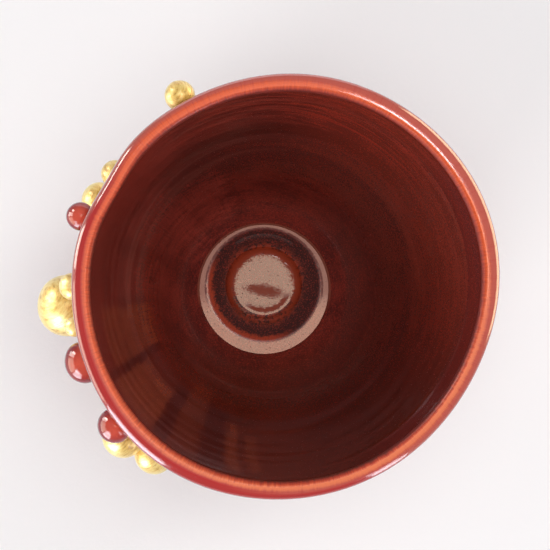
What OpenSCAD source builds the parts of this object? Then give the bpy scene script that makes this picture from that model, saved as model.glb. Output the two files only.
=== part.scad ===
// Hand-thrown glazed cup with applied clay balls, standing on its foot.
// Origin: centre of the foot's resting plane. +Z up the cup's axis, azimuths from +X towards +Y.

/* [Cup] */
// Height from the table to the crest of the clay lip
cup_h = 95; // [80:0.5:115]
// Outside diameter of the clay just below the lip
mouth_d = 89.4; // [76:0.1:104]
// Outside diameter of the clay where the wall starts, above the foot
heel_d = 57; // [55.5:0.5:62]
// How far the heel's curve swells outwards
heel_swell = 5; // [3:0.5:8]
// Height over which the heel's curve turns up into the wall
heel_rise = 9; // [6:0.5:14]
// How far the outside leans in between the lip and the cup's waist
wall_lean = 4.1; // [2:0.1:6]
// Height of the waist above the table
waist_z = 55; // [48:0.5:64]

/* [Wall] */
// Thickness of the clay under the lip
lip_wall = 3.4; // [2.9:0.1:4.5]
// How far in from the outside the crest of the lip lies
crest_inset = 2.5; // [1.2:0.1:2.8]
// Height of the lip's rounded outer shoulder
lip_shoulder = 2.8; // [1.5:0.1:5]
// How full the lip's outer shoulder is, from a soft slope to a square edge
shoulder_fullness = 0.78; // [0.5:0.02:0.9]
// Height of the lip's rounded inner edge
lip_inner_edge = 1.4; // [0.8:0.1:3]
// How full the lip's inner edge is, from a soft slope to a square edge
inner_fullness = 0.6; // [0.4:0.02:0.8]
// How far the inside leans in between the lip and the waist
inner_lean = 4.1; // [2:0.1:6]
// How far the inside has drawn in where the bowl turns in to the floor
bowl_draw = 9.5; // [8:0.1:12]
// Height over which the bowl turns in to the floor
bowl_rise = 6.9; // [4:0.1:9]

/* [Floor of the bowl] */
// Height of the turned ledge in the floor above the table
ledge_z = 10.6; // [9:0.1:14]
// Diameter of the ledge's crisp outer corner
ledge_d = 34.3; // [29:0.1:40]
// Width of the ledge
ledge_w = 2.7; // [2:0.1:4]
// Depth of the step from the bowl's floor down to the ledge
ledge_step = 0.5; // [0.2:0.1:1]
// Depth of the trough inside the ledge
trough_depth = 1.8; // [0.8:0.1:2.5]
// Diameter of the trough's bottom
trough_d = 20.5; // [19.5:0.5:23]
// Diameter of the low flat-topped dome in the middle
dome_d = 17.4; // [13:0.1:19]
// Rise of the dome above the trough
dome_rise = 1.2; // [0.5:0.1:1.7]
// Rounding of the ledge's and the dome's edges
ledge_edge = 0.4; // [0.2:0.1:1]
// How far off the cup's axis the trough and the dome were turned
off_centre = 1.3; // [0:0.1:1.5]
// Azimuth towards which they lie off the axis
off_centre_azimuth = 90; // [0:5:355]

/* [Foot] */
// Outside diameter of the turned foot ring
foot_d = 54; // [48:0.5:55]
// Width of the foot ring's face
foot_w = 5; // [3:0.1:8]
// Depth of the recess inside the foot ring
foot_h = 4.5; // [3:0.1:6]
// Bevel on both edges of the foot ring
foot_bevel = 0.6; // [0.2:0.1:1.2]
// How far the foot ring runs up into the clay above it
foot_root = 1; // [0.5:0.1:1.5]

/* [Handmade lip] */
// Oval of the lip: half the difference of its long and short radius
oval = 0.73; // [0:0.01:1.5]
// Azimuth of the oval's long axis
oval_azimuth = 39; // [0:1:180]
// Three-sided swell of the lip
trefoil = 0.25; // [0:0.01:0.6]
// Azimuth of one of the three swells
trefoil_azimuth = 18; // [0:1:120]
// Five-sided ripple of the lip
ripple = 0.16; // [0:0.01:0.4]
// Azimuth of one of the five ripples
ripple_azimuth = 12; // [0:1:72]
// How far the lip is pinched in beside the balls
pinch = 1.2; // [0:0.1:1.5]
// Azimuth of the pinch
pinch_azimuth = 151; // [130:1:170]
// Spread of the pinch around the cup, to each side in degrees
pinch_spread = 11; // [8:1:16]
// Share of the lip's wobble and pinch that the inside follows
inside_follow = 0.6; // [0.3:0.05:1]

/* [Glaze] */
// Thickness of the glaze on the inside
liner_t = 0.4; // [0.2:0.05:0.7]
// Thickness of the glaze on the outside
outer_t = 0.4; // [0.2:0.05:0.7]
// Height above the table where the outer glaze stops on bare clay
glaze_line = 9; // [8:0.5:14]

/* [Gold ball 1] */
// Azimuth of the gold ball just below the lip, at the far end of the band
gold_1_azimuth = 118.8; // [110:0.5:126]
// Drop of its centre below the lip
gold_1_drop = 7; // [6:0.5:12]
// Diameter
gold_1_d = 6.7; // [5.0:0.1:7.7]
// Depth pressed into the clay wall
gold_1_press = 0.7; // [0.2:0.1:2]

/* [Gold ball 2] */
// Azimuth of the gold ball that is the smaller of a pair
gold_2_azimuth = 145.5; // [138:0.5:147]
// Drop of its centre below the lip
gold_2_drop = 23.5; // [20:0.5:28]
// Diameter
gold_2_d = 6.4; // [4.8:0.1:7.4]
// Depth pressed into the clay wall
gold_2_press = 0.5; // [0.2:0.1:2]

/* [Gold ball 3] */
// Azimuth of the gold ball that is the larger of a pair
gold_3_azimuth = 154; // [152:0.5:162]
// Drop of its centre below the lip
gold_3_drop = 28; // [25:0.5:34]
// Diameter
gold_3_d = 8.1; // [6.1:0.1:9.3]
// Depth pressed into the clay wall
gold_3_press = 0.4; // [0.2:0.1:2]

/* [Gold ball 4] */
// Azimuth of the largest gold ball
gold_4_azimuth = 185; // [179:0.5:191]
// Drop of its centre below the lip
gold_4_drop = 29.5; // [25:0.5:36]
// Diameter
gold_4_d = 14.1; // [10.6:0.1:16.3]
// Depth pressed into the clay wall
gold_4_press = 1.0; // [0.2:0.1:2]

/* [Gold ball 5] */
// Azimuth of the small gold ball above the largest
gold_5_azimuth = 180; // [174:0.5:184]
// Drop of its centre below the lip
gold_5_drop = 15; // [11:0.5:18]
// Diameter
gold_5_d = 6.1; // [4.6:0.1:7.0]
// Depth pressed into the clay wall
gold_5_press = 0.9; // [0.2:0.1:2]

/* [Gold ball 6] */
// Azimuth of the smallest gold ball
gold_6_azimuth = 191; // [186:0.5:194]
// Drop of its centre below the lip
gold_6_drop = 8.5; // [6:0.5:12]
// Diameter
gold_6_d = 4.3; // [3.2:0.1:4.9]
// Depth pressed into the clay wall
gold_6_press = 0.7; // [0.2:0.1:2]

/* [Gold ball 7] */
// Azimuth of the first gold ball of the cluster
gold_7_azimuth = 223.5; // [220:0.5:225]
// Drop of its centre below the lip
gold_7_drop = 17; // [16:0.5:21]
// Diameter
gold_7_d = 9.4; // [7.1:0.1:10.9]
// Depth pressed into the clay wall
gold_7_press = 0.8; // [0.2:0.1:2]

/* [Gold ball 8] */
// Azimuth of the gold ball beside the first of the cluster
gold_8_azimuth = 233; // [231:0.5:237]
// Drop of its centre below the lip
gold_8_drop = 20; // [17:0.5:22]
// Diameter
gold_8_d = 8.9; // [6.7:0.1:10.2]
// Depth pressed into the clay wall
gold_8_press = 1.6; // [0.2:0.1:2]

/* [Gold ball 9] */
// Azimuth of the low gold ball at the near end of the band
gold_9_azimuth = 242.5; // [240:0.5:250]
// Drop of its centre below the lip
gold_9_drop = 30; // [25:0.5:34]
// Diameter
gold_9_d = 6.8; // [5.1:0.1:7.8]
// Depth pressed into the clay wall
gold_9_press = 1.4; // [0.2:0.1:2]

/* [Gold ball 10] */
// Azimuth of the gold ball low in the cluster
gold_10_azimuth = 233.5; // [231:0.5:235]
// Drop of its centre below the lip
gold_10_drop = 31; // [29:0.5:35]
// Diameter
gold_10_d = 8.4; // [6.3:0.1:9.7]
// Depth pressed into the clay wall
gold_10_press = 0.9; // [0.2:0.1:2]

/* [Gold ball 11] */
// Azimuth of the lowest gold ball of the cluster
gold_11_azimuth = 223; // [217:0.5:226]
// Drop of its centre below the lip
gold_11_drop = 41; // [37:0.5:48]
// Diameter
gold_11_d = 9.6; // [7.2:0.1:11.0]
// Depth pressed into the clay wall
gold_11_press = 0.9; // [0.2:0.1:2]

/* [Red ball 1] */
// Azimuth of the red ball above the gold pair
red_1_azimuth = 161; // [156:0.5:167]
// Drop of its centre below the lip
red_1_drop = 11; // [8:0.5:15]
// Diameter
red_1_d = 6.3; // [4.7:0.1:7.2]
// Depth pressed into the clay wall
red_1_press = 0.5; // [0.2:0.1:2]

/* [Red ball 2] */
// Azimuth of the oval red ball beside the largest gold one
red_2_azimuth = 201; // [198:0.5:207]
// Drop of its centre below the lip
red_2_drop = 18; // [13:0.5:23]
// Diameter
red_2_d = 8.1; // [6.1:0.1:9.3]
// Depth pressed into the clay wall
red_2_press = 0.8; // [0.2:0.1:2]
// Length of the oval ball around the cup
red_2_length = 9.4; // [8.2:0.1:10.5]

/* [Red ball 3] */
// Azimuth of the red ball at the top of the cluster
red_3_azimuth = 219.5; // [215:0.5:222]
// Drop of its centre below the lip
red_3_drop = 9.5; // [7:0.5:11]
// Diameter
red_3_d = 7.7; // [5.8:0.1:8.9]
// Depth pressed into the clay wall
red_3_press = 1.7; // [0.2:0.1:2]

/* [Hidden] */

// Facets around the cup, and rings along each stretch of its profile
around = 60;
outer_rings = 10;
shoulder_rings = 4;
edge_rings = 3;
inner_rings = 12;
step_angle = 360 / around;
ball_facets = 48;

// How the lip's wobble and its pinch die away from the lip down to the floor
wobble_power = 1.3;
pinch_power = 2.6;

// Colours of the clay and its finishes
clay_colour = [0.86, 0.80, 0.72];
liner_colour = [0.36, 0.09, 0.08];
outer_colour = [0.62, 0.14, 0.15];
gold_colour = [0.88, 0.76, 0.42];
red_colour = [0.66, 0.12, 0.14];

// The applied balls, each [azimuth, drop, diameter, press, length around the cup]
gold_1 = [gold_1_azimuth, gold_1_drop, gold_1_d, gold_1_press, gold_1_d];
gold_2 = [gold_2_azimuth, gold_2_drop, gold_2_d, gold_2_press, gold_2_d];
gold_3 = [gold_3_azimuth, gold_3_drop, gold_3_d, gold_3_press, gold_3_d];
gold_4 = [gold_4_azimuth, gold_4_drop, gold_4_d, gold_4_press, gold_4_d];
gold_5 = [gold_5_azimuth, gold_5_drop, gold_5_d, gold_5_press, gold_5_d];
gold_6 = [gold_6_azimuth, gold_6_drop, gold_6_d, gold_6_press, gold_6_d];
gold_7 = [gold_7_azimuth, gold_7_drop, gold_7_d, gold_7_press, gold_7_d];
gold_8 = [gold_8_azimuth, gold_8_drop, gold_8_d, gold_8_press, gold_8_d];
gold_9 = [gold_9_azimuth, gold_9_drop, gold_9_d, gold_9_press, gold_9_d];
gold_10 = [gold_10_azimuth, gold_10_drop, gold_10_d, gold_10_press, gold_10_d];
gold_11 = [gold_11_azimuth, gold_11_drop, gold_11_d, gold_11_press, gold_11_d];
red_1 = [red_1_azimuth, red_1_drop, red_1_d, red_1_press, red_1_d];
red_2 = [red_2_azimuth, red_2_drop, red_2_d, red_2_press, red_2_length];
red_3 = [red_3_azimuth, red_3_drop, red_3_d, red_3_press, red_3_d];
// The same balls in the order in which they are laid: a later one is flattened by an earlier one
balls = [gold_4, gold_11, gold_7, gold_8, gold_10, gold_3, gold_2, gold_9,
         red_2, red_3, gold_1, gold_5, red_1, gold_6];

// Radii and heights that follow from the driving sizes
mouth_r = mouth_d / 2;
heel_r = heel_d / 2;
foot_r = foot_d / 2;
crest_r = mouth_r - crest_inset;
inside_r = mouth_r - lip_wall;
ledge_r = ledge_d / 2;
well_r = ledge_r - ledge_w;
trough_r = trough_d / 2;
dome_r = dome_d / 2;
trough_z = ledge_z - trough_depth;
dome_z = trough_z + dome_rise;
floor_z = ledge_z + ledge_step;
shoulder_z = cup_h - lip_shoulder;
inner_edge_z = cup_h - lip_inner_edge;

// Point at t along a cubic curve with the control points c
function bezier(c, t) =
    pow(1 - t, 3) * c[0] + 3 * pow(1 - t, 2) * t * c[1]
    + 3 * (1 - t) * t * t * c[2] + t * t * t * c[3];
// The curve's points from its start up to, and without, its end
function curve(c, steps) = [for (i = [0:steps - 1]) bezier(c, i / steps)];

// Each profile point is [radius, height, share of the lip's wobble and pinch that it follows, share of
// the floor's shift off the axis].
// The outside, from the heel up to the lip's shoulder
outside_curve = [
    [heel_r, foot_h, 1, 0],
    [heel_r + heel_swell, foot_h + heel_rise, 1, 0],
    [mouth_r - wall_lean, waist_z, 1, 0],
    [mouth_r, shoulder_z, 1, 0]];
// The lip's outer shoulder, up to its crest
shoulder_curve = [
    [mouth_r, shoulder_z, 1, 0],
    [mouth_r, shoulder_z + lip_shoulder * shoulder_fullness, 1, 0],
    [crest_r + crest_inset * shoulder_fullness, cup_h, 1, 0],
    [crest_r, cup_h, 0.9, 0]];
// The lip's inner edge, down from its crest
inner_edge_curve = [
    [crest_r, cup_h, 0.9, 0],
    [crest_r - (crest_r - inside_r) * inner_fullness, cup_h, 0.8, 0],
    [inside_r, inner_edge_z + lip_inner_edge * inner_fullness, inside_follow, 0],
    [inside_r, inner_edge_z, inside_follow, 0]];
// The inside wall and the bowl's curve, down to the floor's crisp corner
inside_curve = [
    [inside_r, inner_edge_z, inside_follow, 0],
    [inside_r - inner_lean, waist_z, inside_follow, 0],
    [inside_r - bowl_draw, floor_z + bowl_rise, inside_follow, 0],
    [ledge_r, floor_z, inside_follow, 0]];

outside_points = concat(curve(outside_curve, outer_rings), curve(shoulder_curve, shoulder_rings));
inside_points = concat(
    curve(inner_edge_curve, edge_rings),
    curve(inside_curve, inner_rings),
    [[ledge_r, floor_z, 0, 0],
     [ledge_r - ledge_edge, ledge_z, 0, 0],
     [well_r, ledge_z, 0, 1],
     [well_r - 2 * ledge_edge, ledge_z - ledge_edge, 0, 1],
     [trough_r, trough_z, 0, 1],
     [dome_r, dome_z - ledge_edge, 0, 1],
     [dome_r - 2 * ledge_edge, dome_z, 0, 1],
     [0, dome_z, 0, 1]]);
crest_index = len(outside_points);
profile = concat(outside_points, inside_points);
last_index = len(profile) - 1;

// How far the handmade wall stands out at an azimuth and a height, apart from where it is pinched in
function wobble(azimuth) =
    oval * cos(2 * (azimuth - oval_azimuth))
    + trefoil * cos(3 * (azimuth - trefoil_azimuth))
    + ripple * cos(5 * (azimuth - ripple_azimuth));
function pinched(azimuth) = pinch * exp(-pow((azimuth - pinch_azimuth) / pinch_spread, 2));
function rise(z, power) = pow(max(0, z - ledge_z) / (cup_h - ledge_z), power);
function standing_out(z, azimuth) =
    rise(z, wobble_power) * wobble(azimuth) - rise(z, pinch_power) * pinched(azimuth);
function point_at(p, azimuth) =
    let (r = p[0] + p[2] * standing_out(p[1], azimuth),
         shift = p[3] * off_centre)
    [r * cos(azimuth) + shift * cos(off_centre_azimuth),
     r * sin(azimuth) + shift * sin(off_centre_azimuth), p[1]];

// Profile point i moved out of the clay by t, for the face of a coat of glaze
function along(i) = profile[min(i + 1, last_index)] - profile[max(i - 1, 0)];
function normal(i) = i == last_index ? [0, 1] :
    let (a = along(i), size = norm([a[0], a[1]])) [a[1], -a[0]] / size;
function coated(i, t) =
    let (n = normal(i)) profile[i] + [t * n[0], t * n[1], 0, 0];

// First profile point at or above the glaze line
glaze_index = min([for (i = [0:crest_index]) if (profile[i][1] >= glaze_line) i]);

// Two triangles for the quad a, b, c, d
function quad(a, b, c, d) = [[a, c, b], [a, d, c]];

// Solid turned from a list of profile points that starts and ends on the axis
module turned_solid(points) {
    rings = len(points) - 2;
    low = rings * around;
    high = low + 1;
    vertices = concat(
        [for (i = [1:rings], k = [0:around - 1]) point_at(points[i], k * step_angle)],
        [point_at(points[0], 0), point_at(points[rings + 1], 0)]);
    faces = concat(
        [for (k = [0:around - 1]) [low, k, (k + 1) % around]],
        [for (j = [0:rings - 2], k = [0:around - 1])
            each quad(j * around + k, j * around + (k + 1) % around,
                      (j + 1) * around + (k + 1) % around, (j + 1) * around + k)],
        [for (k = [0:around - 1])
            [high, (rings - 1) * around + (k + 1) % around, (rings - 1) * around + k]]);
    polyhedron(points = vertices, faces = faces);
}

// Ring-shaped solid turned from a closed loop of profile points
module turned_ring(points) {
    rings = len(points);
    vertices = [for (p = points, k = [0:around - 1]) point_at(p, k * step_angle)];
    faces = [for (j = [0:rings - 1], k = [0:around - 1])
        let (next = (j + 1) % rings)
        each quad(j * around + k, j * around + (k + 1) % around,
                  next * around + (k + 1) % around, next * around + k)];
    polyhedron(points = vertices, faces = faces);
}

module clay_body() {
    color(clay_colour)
    union() {
        turned_solid(concat([[0, foot_h, 0, 0]], profile));
        foot_ring();
    }
}

// The turned foot, let into the clay above it
module foot_ring() {
    rotate_extrude($fn = 96)
    polygon([
        [foot_r - foot_w + foot_bevel, 0],
        [foot_r - foot_bevel, 0],
        [foot_r, foot_bevel],
        [foot_r, foot_h + foot_root],
        [foot_r - foot_w, foot_h + foot_root],
        [foot_r - foot_w, foot_bevel]]);
}

// The inside's glaze, from the crest of the lip to the middle of the floor
module liner_glaze() {
    color(liner_colour)
    turned_solid(concat(
        [for (i = [last_index:-1:crest_index]) profile[i]],
        [for (i = [crest_index:last_index]) coated(i, liner_t)]));
}

// The outside's glaze, from its line above the foot to the crest, open round every ball
module outer_glaze() {
    color(outer_colour)
    difference() {
        turned_ring(concat(
            [for (i = [crest_index:-1:glaze_index]) profile[i]],
            [for (i = [glaze_index:crest_index])
                coated(i, i == glaze_index ? outer_t / 2 : outer_t)]));
        for (b = balls)
            ball_shape(b);
    }
}

// Radius of the clay's outside at an azimuth and a drop below the lip
function wall_r(azimuth, drop) =
    let (z = cup_h - drop,
         i = max([for (i = [0:crest_index - 1]) if (profile[i][1] <= z) i]),
         t = (z - profile[i][1]) / (profile[i + 1][1] - profile[i][1]))
    profile[i][0] + t * (profile[i + 1][0] - profile[i][0]) + standing_out(z, azimuth);

// The balls laid before ball b, the ball's centre, and whether two balls reach into each other
function laid_before(b) = [for (i = 0; balls[i] != b; i = i + 1) balls[i]];
function centre(b) =
    let (r = wall_r(b[0], b[1]) + b[2] / 2 - b[3])
    [r * cos(b[0]), r * sin(b[0]), cup_h - b[1]];
function meet(a, b) = norm(centre(a) - centre(b)) < (a[4] + b[4]) / 2;

// Piece of the clay wall behind a ball, on the wall's own facets
module wall_behind(azimuth, drop, reach) {
    z = cup_h - drop;
    spread = asin(reach / mouth_r);
    first = floor((azimuth - spread) / step_angle);
    last = ceil((azimuth + spread) / step_angle);
    low = max([for (i = [0:crest_index]) if (profile[i][1] <= z - reach) i]);
    high = min(concat(
        [for (i = [0:crest_index]) if (profile[i][1] >= z + reach) i],
        [crest_index]));
    columns = last - first + 1;
    rows = high - low + 1;
    inwards = [-2 * reach, 0, 0, 0];
    vertices = concat(
        [for (i = [low:high], k = [first:last]) point_at(profile[i], k * step_angle)],
        [for (i = [low:high], k = [first:last]) point_at(profile[i] + inwards, k * step_angle)]);
    back = rows * columns;
    top = (rows - 1) * columns;
    side = columns - 1;
    faces = concat(
        [for (j = [0:rows - 2], k = [0:columns - 2]) let (a = j * columns + k)
            each quad(a, a + 1, a + columns + 1, a + columns)],
        [for (j = [0:rows - 2], k = [0:columns - 2]) let (a = back + j * columns + k)
            each quad(a, a + columns, a + columns + 1, a + 1)],
        [for (k = [0:columns - 2]) each quad(k, back + k, back + k + 1, k + 1)],
        [for (k = [top:top + columns - 2]) each quad(k, k + 1, back + k + 1, back + k)],
        [for (j = [0:rows - 2]) let (a = j * columns)
            each quad(a, a + columns, back + a + columns, back + a)],
        [for (j = [0:rows - 2]) let (a = j * columns + side)
            each quad(a, back + a, back + a + columns, a + columns)]);
    polyhedron(points = vertices, faces = faces);
}

// A rolled ball before it is seated, round or drawn out around the cup
module ball_shape(b) {
    translate(centre(b))
    rotate([0, 0, b[0]])
    if (b[4] == b[2])
        rotate([0, -90, 0])
        sphere(d = b[2], $fn = ball_facets);
    else
        rotate([90, 0, 0])
        rotate_extrude($fn = ball_facets)
        polygon([for (t = [-90:360 / ball_facets:90]) [b[2] / 2 * cos(t), b[4] / 2 * sin(t)]]);
}

// A ball pressed on to the clay wall and on to the balls laid before it
module seated_ball(b) {
    difference() {
        ball_shape(b);
        wall_behind(b[0], b[1], b[4] / 2 + b[3]);
        for (other = laid_before(b))
            if (meet(other, b))
                ball_shape(other);
    }
}

module gold_ball_1() {
    color(gold_colour)
    seated_ball(gold_1);
}
module gold_ball_2() {
    color(gold_colour)
    seated_ball(gold_2);
}
module gold_ball_3() {
    color(gold_colour)
    seated_ball(gold_3);
}
module gold_ball_4() {
    color(gold_colour)
    seated_ball(gold_4);
}
module gold_ball_5() {
    color(gold_colour)
    seated_ball(gold_5);
}
module gold_ball_6() {
    color(gold_colour)
    seated_ball(gold_6);
}
module gold_ball_7() {
    color(gold_colour)
    seated_ball(gold_7);
}
module gold_ball_8() {
    color(gold_colour)
    seated_ball(gold_8);
}
module gold_ball_9() {
    color(gold_colour)
    seated_ball(gold_9);
}
module gold_ball_10() {
    color(gold_colour)
    seated_ball(gold_10);
}
module gold_ball_11() {
    color(gold_colour)
    seated_ball(gold_11);
}
module red_ball_1() {
    color(red_colour)
    seated_ball(red_1);
}
module red_ball_2() {
    color(red_colour)
    seated_ball(red_2);
}
module red_ball_3() {
    color(red_colour)
    seated_ball(red_3);
}

clay_body();
liner_glaze();
outer_glaze();
gold_ball_1();
gold_ball_2();
gold_ball_3();
gold_ball_4();
gold_ball_5();
gold_ball_6();
gold_ball_7();
gold_ball_8();
gold_ball_9();
gold_ball_10();
gold_ball_11();
red_ball_1();
red_ball_2();
red_ball_3();
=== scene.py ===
"""Hand-thrown glazed cup with applied clay balls: its looks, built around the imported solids."""

import logging
import math
from dataclasses import dataclass, field
from enum import Enum
from typing import Any, Optional, Union

import bmesh
import bpy
import numpy as np
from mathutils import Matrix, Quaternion, Vector


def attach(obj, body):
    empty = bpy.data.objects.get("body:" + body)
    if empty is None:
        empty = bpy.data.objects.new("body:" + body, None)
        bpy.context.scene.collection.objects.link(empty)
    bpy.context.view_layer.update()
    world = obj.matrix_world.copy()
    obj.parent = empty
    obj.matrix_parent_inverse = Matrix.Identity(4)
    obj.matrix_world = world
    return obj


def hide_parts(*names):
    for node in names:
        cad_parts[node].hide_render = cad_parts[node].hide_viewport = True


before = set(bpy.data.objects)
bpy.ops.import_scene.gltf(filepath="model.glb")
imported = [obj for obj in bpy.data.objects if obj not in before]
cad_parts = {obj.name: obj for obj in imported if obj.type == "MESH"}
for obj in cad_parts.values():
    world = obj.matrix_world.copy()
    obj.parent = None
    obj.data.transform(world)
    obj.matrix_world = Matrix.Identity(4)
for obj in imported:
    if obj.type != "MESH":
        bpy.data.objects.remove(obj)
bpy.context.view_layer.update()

MM = 0.001
CLOSE = 0.001 * MM  # vertices this near are one
BODY = "root"
CREST_SHARE = 0.9  # share of the lip's wobble that its crest follows
FLOOR_SHIFT = 1.3  # how far off the cup's axis the floor's trough and dome were turned, in millimetres
log = logging.getLogger("cup")

Number = Union[int, float]
Colour = tuple[float, float, float]
Triple = tuple[float, float, float]


def srgb(red: Number, green: Number, blue: Number) -> Colour:
    """Turns a colour as seen, 0 to 255, into the linear values that a shader takes.

    Args:
        red: Red part.
        green: Green part.
        blue: Blue part.

    Returns:
        The linear colour.
    """
    return tuple(
        c / 12.92 if c <= 0.04045 else ((c + 0.055) / 1.055) ** 2.4
        for c in (red / 255, green / 255, blue / 255)
    )


class Lustre(Enum):
    """The two finishes of the applied balls, by the record's material slot."""

    GOLD = "gold_lustre"
    RED = "red_glaze"


class Light(Enum):
    """What a studio light does: it fills the shadows or shines in the glaze."""

    FILL = "fill"
    SHINE = "shine"


# Shader expressions


class Signal:
    """A shader socket that takes part in Python expressions."""

    def __init__(self, graph: "Graph", socket: bpy.types.NodeSocket) -> None:
        """Wraps a socket of a graph."""
        self.graph = graph
        self.socket = socket

    def _maths(self, operation: str, first: Any, second: Any = None) -> "Signal":
        """Adds one Math node.

        Args:
            operation: The node's operation.
            first: Its first value or signal.
            second: Its second value or signal.

        Returns:
            The node's result.
        """
        inputs = {0: first} if second is None else {0: first, 1: second}
        return self.graph.node("ShaderNodeMath", {"operation": operation}, inputs)

    def __add__(self, other: Any) -> "Signal":
        """Adds."""
        return self._maths("ADD", self, other)

    def __radd__(self, other: Any) -> "Signal":
        """Adds to a number."""
        return self._maths("ADD", other, self)

    def __sub__(self, other: Any) -> "Signal":
        """Subtracts."""
        return self._maths("SUBTRACT", self, other)

    def __rsub__(self, other: Any) -> "Signal":
        """Subtracts from a number."""
        return self._maths("SUBTRACT", other, self)

    def __mul__(self, other: Any) -> "Signal":
        """Multiplies."""
        return self._maths("MULTIPLY", self, other)

    def __rmul__(self, other: Any) -> "Signal":
        """Multiplies a number."""
        return self._maths("MULTIPLY", other, self)

    def __truediv__(self, other: Any) -> "Signal":
        """Divides."""
        return self._maths("DIVIDE", self, other)

    def __pow__(self, other: Any) -> "Signal":
        """Raises to a power."""
        return self._maths("POWER", self, other)

    def root(self) -> "Signal":
        """Takes the square root."""
        return self._maths("SQRT", self)

    def sine(self) -> "Signal":
        """Takes the sine."""
        return self._maths("SINE", self)

    def above(self, other: Any) -> "Signal":
        """Keeps the larger of this and another."""
        return self._maths("MAXIMUM", self, other)

    def step(self, low: Number, high: Number) -> "Signal":
        """Rises smoothly from 0 at low to 1 at high, or falls where high is the smaller.

        Args:
            low: Value at which the result is 0.
            high: Value at which the result is 1.

        Returns:
            The result.
        """
        return self.graph.node(
            "ShaderNodeMapRange",
            {"interpolation_type": "SMOOTHSTEP", "clamp": True},
            {"Value": self, "From Min": low, "From Max": high},
        )

    def within(self, start: Number, full: Number, fading: Number, end: Number) -> "Signal":
        """Rises smoothly from 0 to 1 and later falls to 0 again.

        Args:
            start: Value at which the result leaves 0.
            full: Value at which it reaches 1.
            fading: Value at which it leaves 1.
            end: Value at which it reaches 0.

        Returns:
            The result.
        """
        return self.step(start, full) * self.step(end, fading)


Spot = tuple[Signal, Signal, Signal]
Coats = list[tuple[Signal, Any]]


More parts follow.
